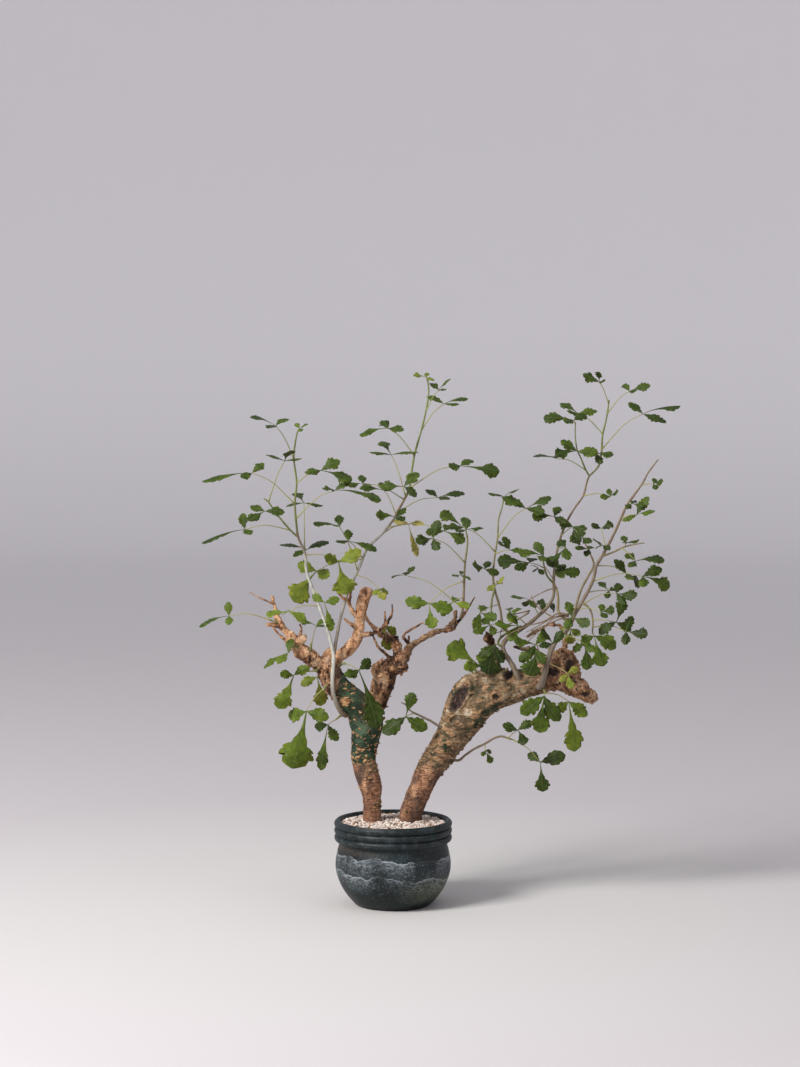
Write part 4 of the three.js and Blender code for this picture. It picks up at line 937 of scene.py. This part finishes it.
def make_soil():
    chance = random.Random(7)
    inside = BORE_RADIUS - 0.5
    profile = [
        (0, 8), (41, 8), (50, 21), (56.6, 47), (54.2, 70), (inside - 0.3, 86), (inside, SOIL_EDGE_Z - 0.6),
    ]
    rings = [inside * (1 - i / SOIL_RINGS) for i in range(1, SOIL_RINGS)]
    points, faces = turned_solid(profile + [(r, 0) for r in rings] + [(0, 0)], SOIL_SIDES)
    top = 1 + (len(profile) - 2) * SOIL_SIDES
    points = [(x, y, soil_height(x, y) if i >= top else z) for i, (x, y, z) in enumerate(points)]
    body = Shape()
    body.add(points, faces)
    piece(body.mesh("soil_bed"), [soil_material()], "soil", "soil")
    grains = Shape()
    kinds = [stone(1, chance) for _ in range(GRAIN_KINDS)]
    for _ in range(GRAINS):
        away = inside * math.sqrt(chance.random())
        angle = chance.uniform(0, 2 * math.pi)
        size = chance.uniform(0.55, 1.75) if chance.random() < 0.85 else chance.uniform(1.7, 2.4)
        away = min(away, inside - size)
        x, y = away * math.cos(angle), away * math.sin(angle)
        points, faces = chance.choice(kinds)
        spin = chance.uniform(0, 2 * math.pi)
        c, s = math.cos(spin), math.sin(spin)
        turn = np.array(((c, -s, 0), (s, c, 0), (0, 0, 1)))
        lift = soil_height(x, y) + size * chance.uniform(0.1, 0.55)
        # Grains between the stems and behind them are more often dark
        dark_patch = 0.75 * math.exp(-((x + 2) / 16) ** 2 - ((y - 16) / 14) ** 2)
        tone = chance.random() * (0.16 if chance.random() < dark_patch else 1)
        grains.add(points @ turn.T * size + (x, y, lift), faces, tone=tone)
    piece(grains.mesh("soil_pumice"), [pumice_material()], "soil", "soil")


# Trunks
THICK = 3.0
VOXEL = 0.9
SMOOTHING_ROUNDS = 8
LIMB_SIDES = 28
SPUR_SIDES = 10
# How many small loose flakes each trunk has
FLAKES = {"trunk_left": 130, "trunk_right": 190}
# Large flakes on the front as [x, z, half width, height, lean in degrees, how far they lift]
PEELS = {
    "trunk_left": [
        [-47, 205, 1.8, 8, 0, 2.2], [-46, 174, 1.4, 3.2, 0, 1.8], [-10, 206, 3, 4.5, 40, 3.2],
        [-15, 198, 3, 3, 60, 2.6], [-9, 196, 2.2, 4, 0, 2.8], [-20, 190, 3.2, 2.2, 50, 2],
        [-26, 196, 2.4, 3.6, 70, 2.2], [-25, 208, 2.2, 4, 80, 2.4], [-31, 187, 3, 2, 30, 1.8],
        [-38, 190, 2.2, 3, 60, 1.8], [-43, 193, 2, 3.4, 80, 1.6], [-38, 179, 4, 1.2, 0, 1.2],
        [-27, 178, 4.4, 1.2, 5, 1.2], [-52, 229, 5, 4, -20, 1.8], [-8, 219, 2.6, 4, 20, 2.6],
        [-45, 246, 2.4, 3, 60, 1.6], [-61, 232, 3, 4, 40, 2.6], [-66, 240, 2.6, 3.6, 10, 2.6],
        [-72, 246, 3, 4, -30, 2.8], [-30, 165, 4, 1.4, 0, 1.4], [-40, 160, 3, 1.6, 0, 1.4],
        [-22, 160, 2.6, 2, 20, 1.8],
    ],
    "trunk_right": [
        [12, 101, 2.4, 10, -8, 2], [38, 146, 2, 1.6, 0, 0.8], [60, 138, 2, 2, 60, 0.9],
        [55, 166, 5, 2, 20, 1.2], [66, 160, 4, 2.4, 30, 1.3], [78, 172, 3.4, 2.6, 40, 1.2],
        [47, 172, 3.6, 2, 0, 1], [84, 184, 2.8, 2.4, 45, 1.2], [62, 212, 3, 2.4, -30, 1],
        [82, 205, 3, 2.6, 40, 1.1], [76, 219, 3.6, 1.8, 10, 1], [98, 200, 2.6, 2.2, 40, 1.2],
        [60, 188, 3, 2, -20, 0.9], [72, 190, 3.4, 1.8, 20, 0.9], [120, 222, 3, 2, 20, 1.1],
        [142, 234, 2.6, 2, 20, 1.2], [66, 176, 4, 1.6, 10, 1], [72, 152, 2.2, 2.2, 60, 1],
    ],
}
# Marks on the front of the bark as [x, z, half width, half height, lean in degrees, depth of the hollow,
# height of its lip, how dark it is]. A hollow below 0 is a raised plate, and a mark that is only a little
# dark is a ringed knot.
MARKS = {
    "trunk_left": [
        [-53, 229, 6, 5, 0, -0.5, 0.6, 0], [-60, 262, 7, 8, 10, 1.6, 1.2, 0.8],
        [-38, 131, 3, 2, 0, -0.8, 0.3, 0], [8, 262, 5, 4, 0, 1.2, 0.8, 0.7],
        [-30, 350, 5, 3, 0, 0.8, 0.6, 0.4],
    ],
    "trunk_right": [
        [73, 233, 6.5, 19, 29, 3.4, 2.4, 1], [71, 208, 6.5, 6.5, 0, 1.0, 1.8, 0.3],
        [113, 236, 8, 7, 15, -0.6, 1.3, 0], [113, 235, 4.6, 3.8, 30, 2.4, 0.3, 0.8],
        [63, 195, 5, 3, 20, -1.0, 0.8, 0],
        [52, 175, 4, 2.5, 0, -0.6, 0.7, 0], [126, 258, 6, 5, 0, 1.5, 1.2, 1],
        [176, 262, 8, 5, 10, 2.6, 1.2, 1], [195, 268, 7, 8, 0, 2.8, 1.0, 1],
        [90, 214, 5, 3, -15, -0.8, 0.6, 0], [212, 236, 5, 3, 0, 1.5, 0.8, 1],
        [60, 168, 6, 2, 25, -0.8, 0.5, 0],
    ],
}


def gently(value, middle, width):
    """A step from 0 to 1 round a middle value."""
    return 1 / (1 + math.exp(-max(-30.0, min(30.0, (value - middle) / width))))


def rough(point, stretch, scale, octaves=4):
    """Fractal noise round 0 at a point, with the vertical stretched."""
    x, y, z = point
    return noise.fractal(Vector((x, y, z * stretch)) * scale, 0.9, 2.0, octaves)


def left_zones(point, drift):
    """At a point of the left trunk: its zone, how dead and how rough the wood is, where scales begin."""
    x, _, z = point
    edge = 158 + 6 * drift
    right_limb = gently(x, -27, 3)
    dead = gently(z, 226 + 36 * gently(x, -61, 1.5) * (1 - right_limb) - 10 * right_limb + 12 * drift, 1.2)
    stub = gently(x, -64, 2) * (1 - gently(x, -13, 2)) * gently(z, 270, 3)
    rotten = (1 - gently(x, -63, 2)) * gently(z, 222, 3) * (1 - gently(z, 276, 5))
    grey = gently(x, 9, 2) * gently(z, 272, 3)
    fork = right_limb * (1 - gently(z, 262, 4))
    olive = fork * gently(drift, 0.1, 0.03)
    zone = max(1 - gently(z, edge, 0.8), gently(z, 205, 2) * right_limb, 0.75 * rotten)
    zone *= (1 - stub) * (1 - 0.5 * grey) * (1 - 0.75 * olive)
    dead *= (1 - 0.55 * grey) * (1 - 0.6 * olive)
    return zone, dead, 1 - 0.7 * stub - 0.65 * fork, 0.06 + 0.5 * min(1, max(0, (z - edge) / 26))


def right_zones(point, drift):
    x, _, z = point
    edge = 160 + 20 * drift
    knob = gently(z, 284, 3) * (1 - gently(x, 125, 3))
    dead = max(gently(x, 160 + 9 * drift, 3), knob)
    zone = max(1 - gently(z, edge, 4), 0.42 * gently(x, 156, 4), knob)
    return zone, dead, 1.0, 0.16 + 0.14 * min(1, max(0, (z - edge) / 60))


ZONES = {"trunk_left": left_zones, "trunk_right": right_zones}


def bark_at(name, point, normal):
    """How far the bark stands out at a point, its tone and its place."""
    zone, dead, rugged, start = ZONES[name](point, rough(point, 0.8, 0.06, 3))
    smooth = zone * (1 - dead)
    scales = rough(point, 1.7, 0.2 if name == "trunk_left" else 0.12, 5)
    scale = gently(scales, start, 0.02) * (1 - smooth) * (1 - 0.7 * dead)
    out = 0.3 + 1.5 * rough(point, 0.55, 0.05) + 0.3 * smooth * rough(point, 0.4, 0.3)
    out += 0.6 * scale + (1 - smooth) * (1 - dead) * 0.5 * rough(point, 1.6, 0.4)
    cavity = dead * rugged * min(1, 1.6 * zone) * gently(rough(point, 0.8, 0.15, 3), 0.27, 0.05)
    out -= 2.4 * cavity
    out += dead * rugged * (2.0 * rough(point, 0.6, 0.14) + (0.8 + 1.3 * zone) * rough(point, 0.8, 0.4))
    # Painted shade: the cavities are painted dark as well as sunk
    wound_and_hollow_shade = 0.9 * cavity
    for x, z, half_width, half_height, lean, hollow, lip, shade_of in MARKS[name] if normal[1] < 0.3 else ():
        turn = math.radians(lean)
        dx, dz = point[0] - x, point[2] - z
        across = (dx * math.cos(turn) - dz * math.sin(turn)) / half_width
        up = (dz * math.cos(turn) + dx * math.sin(turn)) / half_height
        far = math.hypot(across, up) + 0.16 * rough(point, 1, 0.25, 2)
        if far < 1.9:
            inner = max(0.0, 1 - far**2)
            out += lip * math.exp(-((far - 1.12) / 0.25) ** 2) - hollow * inner
            # Inside a dark mark the colour darkens: wound colour, and painted shade in its hollow
            wound_and_hollow_shade = max(wound_and_hollow_shade, shade_of * gently(far, 0.9, -0.04))
            if 0 < shade_of < 0.5:
                wound_and_hollow_shade = max(wound_and_hollow_shade, *(0.8 * math.exp(-((far - ring) / 0.11) ** 2) for ring in (0.45, 0.95)))
            if hollow < 0:
                scale = max(scale, gently(far, 0.92, -0.05))
    return out, dead, (wound_and_hollow_shade, scale * (1 - wound_and_hollow_shade), zone)


def add_flake(shape, at, out, half, height, lean, lift):
    """A thin curl of bark that has come loose along one edge."""
    level = unit(np.cross((0.0, 0.0, 1.0), out) + 1e-6)
    steep = np.cross(out, level)
    turn = math.radians(lean)
    around = level * math.cos(turn) + steep * math.sin(turn)
    up = steep * math.cos(turn) - level * math.sin(turn)
    rows = []
    for v in (0, 0.35, 0.7, 1):
        for u in (-1, -0.5, 0, 0.5, 1):
            across = u * half * (1 - 0.4 * v * abs(u))
            reach = 0.3 + lift * v**1.4 - 0.09 * half * u * u * (1 - 0.5 * v) - 0.6 * (v == 0)
            rise = height * v * (1 - 0.25 * v)
            rows.append(at + around * across + up * rise + out * reach)
    rows = np.array(rows)
    faces = [(5 * i + k, 5 * i + k + 1, 5 * i + k + 6, 5 * i + k + 5) for i in range(3) for k in range(4)]
    edge = [0, 1, 2, 3, 4, 9, 14, 19, 18, 17, 16, 15, 10, 5]
    under = [tuple(20 + i for i in reversed(face)) for face in faces]
    walls = [(a, a + 20, b + 20, b) for a, b in zip(edge, edge[1:] + edge[:1])]
    shape.add(np.concatenate((rows, rows - out * 0.35)), faces + under + walls, places=[(0, 1, 0)] * 40)


def add_flakes(shape, name, points, normals, places, chance):
    """Large flakes where they are drawn, and small ones wherever the bark peels."""
    behind = normals[:, 1] > 0.15
    for x, z, half, height, lean, lift in PEELS[name]:
        away = (points[:, 0] - x) ** 2 + (points[:, 2] - z) ** 2 + 1e4 * behind
        index = int(np.argmin(away))
        add_flake(shape, points[index], normals[index], half, height, lean, lift)
    peeling = np.flatnonzero((places[:, 1] > 0.3) & (places[:, 1] < 0.8))
    for index in chance.sample(list(peeling), min(FLAKES[name], len(peeling))):
        half, height, lift = chance.uniform(0.9, 3.2), chance.uniform(0.9, 2.4), chance.uniform(0.4, 1.7)
        lean = chance.choice((0, 180)) + chance.uniform(-25, 25)
        add_flake(shape, points[index], normals[index], half, height, lean, lift)


def make_trunk(name, material):
    chance = random.Random(name)
    thick, thin = Shape(), Shape()
    for rows in WOOD[name].values():
        heavy = max(row[3] for row in rows) > THICK
        path, radii = limb_path(rows, 4)
        if not heavy:
            radii = radii * np.array([chance.uniform(0.85, 1.25) for _ in radii])
            sway = np.array([[chance.uniform(-0.3, 0.3) for _ in range(3)] for _ in radii])
            path[1:-1] += (sway * radii[:, None])[1:-1]
        sides = LIMB_SIDES if heavy else SPUR_SIDES
        (thick if heavy else thin).add(*tube(path, radii, sides))
    points, normals, faces = remeshed(thick, f"{name}_skin")
    marks = [bark_at(name, point, normal) for point, normal in zip(points, normals)]
    out = np.array([mark[0] for mark in marks])
    places = np.array([mark[2] for mark in marks])
    points = points + normals * out[:, None]
    shape = Shape()
    shape.add(points, faces, tone=[mark[1] for mark in marks], places=places)
    if thin.count:
        spurs = np.concatenate(thin.points)
        shape.add(spurs, thin.faces, tone=1.0, places=[(0, 0, 1.0 if x > -27 else 0.3) for x in spurs[:, 0]])
    add_flakes(shape, name, points, normals, places, chance)
    piece(shape.mesh(f"{name}_bark"), [material], "bark", name)


def remeshed(shape, name):
    """One skin round the overlapping solids of a shape, smoothed over where they meet."""
    source = bpy.data.objects.new(name, shape.mesh(name))
    bpy.context.collection.objects.link(source)
    modifier = source.modifiers.new("skin", "REMESH")
    modifier.mode = "VOXEL"
    modifier.voxel_size = VOXEL * MM
    skin = bpy.data.meshes.new_from_object(source.evaluated_get(bpy.context.evaluated_depsgraph_get()))
    bpy.data.objects.remove(source)
    work = bmesh.new()
    work.from_mesh(skin)
    for _ in range(SMOOTHING_ROUNDS):
        bmesh.ops.smooth_vert(
            work, verts=work.verts, factor=0.5, use_axis_x=True, use_axis_y=True, use_axis_z=True
        )
    work.normal_update()
    points = np.array([v.co for v in work.verts]) / MM
    normals = np.array([v.normal for v in work.verts])
    faces = [tuple(v.index for v in f.verts) for f in work.faces]
    work.free()
    return points, normals, faces


# Leaves
END_LENGTH = 30
SIDE_LENGTH = 21
WIDEST_BLADE = 25
END_WIDTH = 0.58
SIDE_WIDTH = 0.66
LOBED_SIZE = 0.95
WEDGED_LENGTH = 34
DROOP = 0.25
SPREAD = 0.62
STALK_RADIUS = 0.46
STEM_SLIMNESS = 0.88
BLADE_SLIMNESS = 0.9
BLADE_HALF_THICKNESS = 0.16
BASE_ROWS = 7
# Half outlines from the stalk to the tip as (share of the length, share of the half width)
LOBED_OUTLINE = [
    (0, 0.04), (0.15, 0.06), (0.3, 0.12), (0.42, 0.26), (0.52, 0.5), (0.61, 0.78), (0.7, 0.98), (0.78, 1.03),
    (0.85, 0.95), (0.91, 0.76), (0.96, 0.5), (0.99, 0.28), (1, 0.08),
]
BLUNT_OUTLINE = [
    (0, 0.06), (0.14, 0.08), (0.28, 0.15), (0.4, 0.36), (0.51, 0.66), (0.62, 0.92), (0.72, 1.03), (0.81, 1.0),
    (0.88, 0.84), (0.94, 0.6), (0.98, 0.36), (1, 0.08),
]
SIDE_OUTLINE = [
    (0, 0.07), (0.09, 0.14), (0.2, 0.38), (0.34, 0.74), (0.49, 0.98), (0.62, 1.03), (0.75, 0.95),
    (0.86, 0.72), (0.93, 0.46), (0.98, 0.24), (1, 0.06),
]
# Teeth are cut towards this share of the length
HEART = 0.6
ACROSS = np.array((-1, -0.7, -0.35, 0, 0.35, 0.7, 1))


def node_on(stems, x, z):
    """The nearest place to a drawn point on the centre lines of a spray's stems."""
    best = (math.inf, 0, 0, 0)
    for rows in stems:
        for (ax, az, ay, _), (bx, bz, by, _) in zip(rows, rows[1:]):
            length = (bx - ax) ** 2 + (bz - az) ** 2
            t = min(1, max(0, ((x - ax) * (bx - ax) + (z - az) * (bz - az)) / length))
            px, pz = ax + t * (bx - ax), az + t * (bz - az)
            far = math.hypot(px - x, pz - z)
            if far < best[0]:
                best = (far, px, pz, ay + t * (by - ay))
    return best[1:]


def hidden_reach(jx, jz, x, z, length):
    """How far a leaflet reaches in depth if it is drawn shorter than it is."""
    return math.sqrt(max(0, length**2 - (x - jx) ** 2 - (z - jz) ** 2))


def spread(joint, tip, outwards):
    """A side leaflet's tip, swung outwards where it would lie too close to the leaf's middle line."""
    reach = tip - joint
    length = np.linalg.norm(reach)
    out = reach.dot(outwards)
    if out > SPREAD * length:
        return tip
    rest = unit(reach - outwards * out) * length * math.sqrt(1 - SPREAD**2)
    return joint + rest + outwards * SPREAD * length


def margin(outline, start, teeth, depth, chance):
    """Rows of (share of the length, half width, cut on the left, cut on the right) along a toothed edge."""
    curve = smooth_path(outline, 8)
    rows = [(start * i / BASE_ROWS, 0, 0) for i in range(BASE_ROWS)]
    for k in range(teeth):
        last = 1.5 if k == teeth - 1 else 1
        deep = [min(0.34, depth * chance.uniform(0.4, 1.5) * last) for _ in range(2)]
        for step, cut in ((0.0, 1.0), (0.2, 0.45), (0.5, 0.05), (0.8, 0.1)):
            rows.append((start + (1 - start) * (k + step) / teeth, deep[0] * cut, deep[1] * cut))
    rows.append((1, 0, 0))
    return [(share, max(0.02, np.interp(share, curve[:, 0], curve[:, 1])), a, b) for share, a, b in rows]


def shell_faces(count, columns):
    """Faces of a thin closed shell: a grid of upper points row by row, and then one of lower points."""
    under = count * columns
    faces = []
    for i in range(count - 1):
        for k in range(columns - 1):
            a = i * columns + k
            faces.append((a, a + columns, a + columns + 1, a + 1))
            faces.append((under + a, under + a + 1, under + a + columns + 1, under + a + columns))
        for k in (0, columns - 1):
            a = i * columns + k
            wall = (a, under + a, under + a + columns, a + columns)
            faces.append(wall if k == 0 else wall[::-1])
    for i in (0, count - 1):
        for k in range(columns - 1):
            a = i * columns + k
            wall = (a, a + 1, under + a + 1, under + a)
            faces.append(wall if i == 0 else wall[::-1])
    return faces


def blade(root, tip, face, size, breadth, at_end, openness, chance):
    """Points, faces and places of one leaflet: a thin closed shell, toothed, cupped, bent and waved."""
    length = np.linalg.norm(tip - root)
    along = (tip - root) / length
    normal = unit(face - along * face.dot(along))
    side = np.cross(along, normal)
    half = breadth * min(WIDEST_BLADE * size, length * (END_WIDTH if at_end else SIDE_WIDTH)) / 2
    wedge = at_end or length > WEDGED_LENGTH
    outline = (LOBED_OUTLINE if size > LOBED_SIZE else BLUNT_OUTLINE) if wedge else SIDE_OUTLINE
    start, teeth, depth = (0.56, 3, 0.26) if wedge else (0.26, chance.choice((3, 4)), 0.22)
    fold = chance.uniform(-0.3, 0.12)
    wave = chance.uniform(0.03, 0.085) * length * openness
    beat, phase = chance.uniform(7, 13), chance.uniform(0, 6)
    twist, bend = chance.uniform(-0.35, 0.35) * openness, chance.uniform(-0.05, 0.05) * length
    spacing = (1 - start) * length / teeth
    beyond = np.abs(ACROSS) ** 3
    rows, places = [], []
    for s, w, cut_left, cut_right in margin(outline, start, teeth, depth, chance):
        kept = 1 - beyond * np.where(ACROSS < 0, cut_left, cut_right)
        y = ACROSS * w * half * kept
        x = length * (HEART + (s - HEART) * kept - 0.1 * (1 - np.abs(ACROSS)) * s * (1 - s))
        lift = DROOP * length * s * (1 - s) + fold * np.abs(y) + twist * y * s
        lift = lift + wave * ACROSS**2 * np.sin(beat * s + phase + (ACROSS > 0) * 2) * min(1, 3 * s) * w
        sideways = y + bend * 4 * s * (1 - s)
        rows.append(root + np.outer(x, along) + np.outer(sideways, side) + np.outer(lift, normal))
        lead = (x - start * length - 0.9 * np.abs(y)) / spacing
        places.append(np.stack((lead, y, np.abs(ACROSS) * min(1, 2 * s)), axis=1))
    rows = np.array(rows)
    thickness = np.where(np.abs(ACROSS) == 1, 0.3, 1.0) * BLADE_HALF_THICKNESS
    top = rows + normal * thickness[None, :, None]
    bottom = rows - normal * thickness[None, :, None]
    points = np.concatenate((top.reshape(-1, 3), bottom.reshape(-1, 3)))
    faces = shell_faces(len(rows), len(ACROSS))
    return points, faces, np.tile(np.array(places).reshape(-1, 3), (2, 1))


def add_leaf(shape, stems, leaf, breadth, tone, chance):
    """A stalk that leaves its stem at a node, and its three leaflets."""
    nx, nz, jx, jz, away, ex, ez, ax, az, bx, bz, turn, size = leaf[:13]
    end_turn = leaf[13] if len(leaf) > 13 else turn
    px, pz, depth = node_on(stems, nx, nz)
    foot = seen(px, pz, depth)
    depth += away
    joint = seen(jx, jz, depth)
    face = turned(turn)
    # The face is turned to the eye, so the side leaflet that is drawn lower is the nearer one
    low, high = ((ax, az), (bx, bz)) if az < bz else ((bx, bz), (ax, az))
    end_tip = seen(ex, ez, depth + math.copysign(hidden_reach(jx, jz, ex, ez, END_LENGTH * size), away))
    near = seen(*low, depth - hidden_reach(jx, jz, *low, SIDE_LENGTH * size))
    far = seen(*high, depth + hidden_reach(jx, jz, *high, SIDE_LENGTH * size))
    ahead = unit(end_tip - joint)
    left = np.cross(unit(face - ahead * face.dot(ahead)), ahead)
    if (near - far).dot(left) < 0:
        near, far = far, near
    stalk = np.linalg.norm(foot - joint)
    bend = joint + 0.45 * (foot - joint) + np.array((0, 0, stalk * (0.1 if stalk > 28 else 0.04)))
    path = smooth_path([foot, bend, joint], 6)
    share = np.linspace(0, 1, len(path))
    radii = STALK_RADIUS * (1.2 - 0.4 * share + 0.9 * np.exp(-share * 12))
    shape.add(*tube(path, radii, 8), slot=2, tone=min(1, tone + 0.25))
    tips = ((end_tip, turned(end_turn), True), (spread(joint, near, left), face, False),
            (spread(joint, far, -left), face, False))
    for tip, upper, at_end in tips:
        openness = min(1, (end_turn if at_end else turn) / 40)
        wide = BLADE_SLIMNESS * (breadth if at_end else 1)
        points, faces, places = blade(joint, tip, upper, size, wide, at_end, openness, chance)
        shape.add(points, faces, 0, tone + chance.uniform(-0.08, 0.08), places)


def add_stems(shape, name, stems):
    foot_wood, tip_wood, pace = WOODY.get(name, (0.4, 0.2, 1))
    for number, rows in enumerate(stems):
        path, radii = limb_path(rows, 5)
        share = np.linspace(0, 1, len(path))
        nodes = 1 + 0.16 * np.exp(-(((np.arange(len(path)) % 5) - 2.0) ** 2))
        points, faces = tube(path, radii * nodes * STEM_SLIMNESS, 12)
        woody = np.full(len(path), tip_wood * 0.8)
        if number == 0:
            woody = foot_wood + (tip_wood - foot_wood) * share**pace
        # Pale bark is greyer close to the foot
        woody = woody - 2.8 * max(0, foot_wood - 0.8) * np.exp(-8 * share)
        tones = np.concatenate((np.repeat(woody, 12), (woody[0], woody[-1])))
        shape.add(points, faces, 1, tones)


def add_twigs(shape, name, stems):
    for number, twig in enumerate(TWIGS.get(name, ())):
        depth = node_on(stems, *twig[0])[2]
        lean = (-2.5, 1.5, -1.5)[number % 3]
        path = smooth_path([seen(x, z, depth + lean * i) for i, (x, z) in enumerate(twig)], 4)
        radii = np.linspace(*TWIG_RADII, len(path)) * (1 + 0.12 * np.sin(2.2 * np.arange(len(path))))
        shape.add(*tube(path, radii, 7), slot=1, tone=0.5)


def make_spray(name, materials):
    chance = random.Random(name)
    spray = SPRAYS[name]
    usual, exceptions = TONE[name]
    shape = Shape()
    add_stems(shape, name, spray["stems"])
    add_twigs(shape, name, spray["stems"])
    for number, leaf in enumerate(spray["leaves"]):
        tone = exceptions.get(number, usual) + chance.uniform(-0.05, 0.05)
        breadth = BREADTH.get(name, {}).get(number, 1)
        add_leaf(shape, spray["stems"], leaf, breadth, tone, chance)
    piece(shape.mesh(f"{name}_foliage"), materials, "leaf", name)


# The object
LEFT_GREEN = [(0.34, (20, 32, 24)), (0.49, (42, 62, 44)), (0.62, (80, 98, 74))]
RIGHT_GREEN = [
    (0.36, (38, 46, 30)), (0.43, (76, 74, 54)), (0.49, (112, 92, 68)), (0.55, (142, 119, 91)),
    (0.63, (190, 173, 148)),
]
LEFT_SCALES = ((150, 108, 74), (212, 168, 122))
RIGHT_SCALES = ((126, 95, 67), (180, 144, 108))

make_pot()
make_soil()
make_trunk("trunk_left", bark_material("bark_left", LEFT_GREEN, LEFT_SCALES))
make_trunk("trunk_right", bark_material("bark_right", RIGHT_GREEN, RIGHT_SCALES))
foliage = [leaf_material(), stem_material(), stalk_material()]
for spray_name in SPRAYS:
    make_spray(spray_name, foliage)


# Stage, lights and camera
STAGE_SIDES = 96
STAGE_REACH = 6


def make_stage():
    """A pale floor that rises far off into a wall on every side."""
    profile = [
        (0.4, 0), (1, 0), (2, 0), (3.6, 0), (4.3, 0.04), (4.9, 0.3), (5.3, 0.9), (5.5, 1.8), (5.5, 4.5),
    ]
    rows = smooth_path(profile, 4)
    sides = STAGE_SIDES
    mesh = bpy.data.meshes.new("stage")
    points = [(0, 0, 0)]
    for radius, height in rows:
        for k in range(sides):
            angle = 2 * math.pi * k / sides
            points.append((radius * math.cos(angle), radius * math.sin(angle), max(0, height)))
    faces = [(0, 1 + k, 1 + (k + 1) % sides) for k in range(sides)]
    faces += [(a, d, c, b) for a, b, c, d in bands(len(rows), sides, 1)]
    mesh.from_pydata(points, [], faces)
    mesh.polygons.foreach_set("use_smooth", [True] * len(faces))
    g = Graph("stage_paint", Roughness=0.9, Specular_IOR_Level=0.1)
    away = g.node("ShaderNodeVectorMath", {0: g.at()}, 1, operation="LENGTH")
    color = g.ramp(
        g.math("DIVIDE", away, STAGE_REACH), (0.04, (198, 195, 194)), (0.12, (194, 189, 192)),
        (0.4, (210, 206, 209)), (0.85, (242, 239, 242)),
    )
    mesh.materials.append(g.finish(color))
    obj = bpy.data.objects.new("stage", mesh)
    bpy.context.collection.objects.link(obj)


def add_light(name, place, target, size, power, color):
    data = bpy.data.lights.new(name, "AREA")
    data.size, data.energy, data.color = size, power, color
    lamp = bpy.data.objects.new(name, data)
    lamp.location = place
    lamp.rotation_mode = "QUATERNION"
    lamp.rotation_quaternion = (Vector(target) - Vector(place)).to_track_quat("-Z", "Y")
    bpy.context.collection.objects.link(lamp)


def make_camera():
    data = bpy.data.cameras.new("camera")
    data.sensor_width = SENSOR
    data.lens = SENSOR * FOCAL_PIXELS / FRAME_HEIGHT
    data.clip_end = 50
    camera = bpy.data.objects.new("camera", data)
    camera.location = EYE * MM
    camera.rotation_euler = (math.radians(90 - EYE_PITCH), 0, 0)
    bpy.context.collection.objects.link(camera)
    bpy.context.scene.camera = camera


make_stage()
add_light("window", (-1.7, -1.5, 1.9), (0.03, 0, 0.25), 0.9, 100, (1.0, 0.985, 0.955))
add_light("ceiling", (0.2, -0.4, 3.2), (0.1, 0, 0), 3.0, 20, (0.98, 0.99, 1.0))
add_light("fill", (2.2, -1.8, 0.9), (0.05, 0, 0.3), 1.8, 5, (0.96, 0.98, 1.0))
make_camera()
world = bpy.data.worlds.new("room")
world.use_nodes = True
world.node_tree.nodes["Background"].inputs[0].default_value = (0.93, 0.95, 1.0, 1)
world.node_tree.nodes["Background"].inputs[1].default_value = 0.4
bpy.context.scene.world = world
bpy.context.scene.view_settings.view_transform = "Standard"
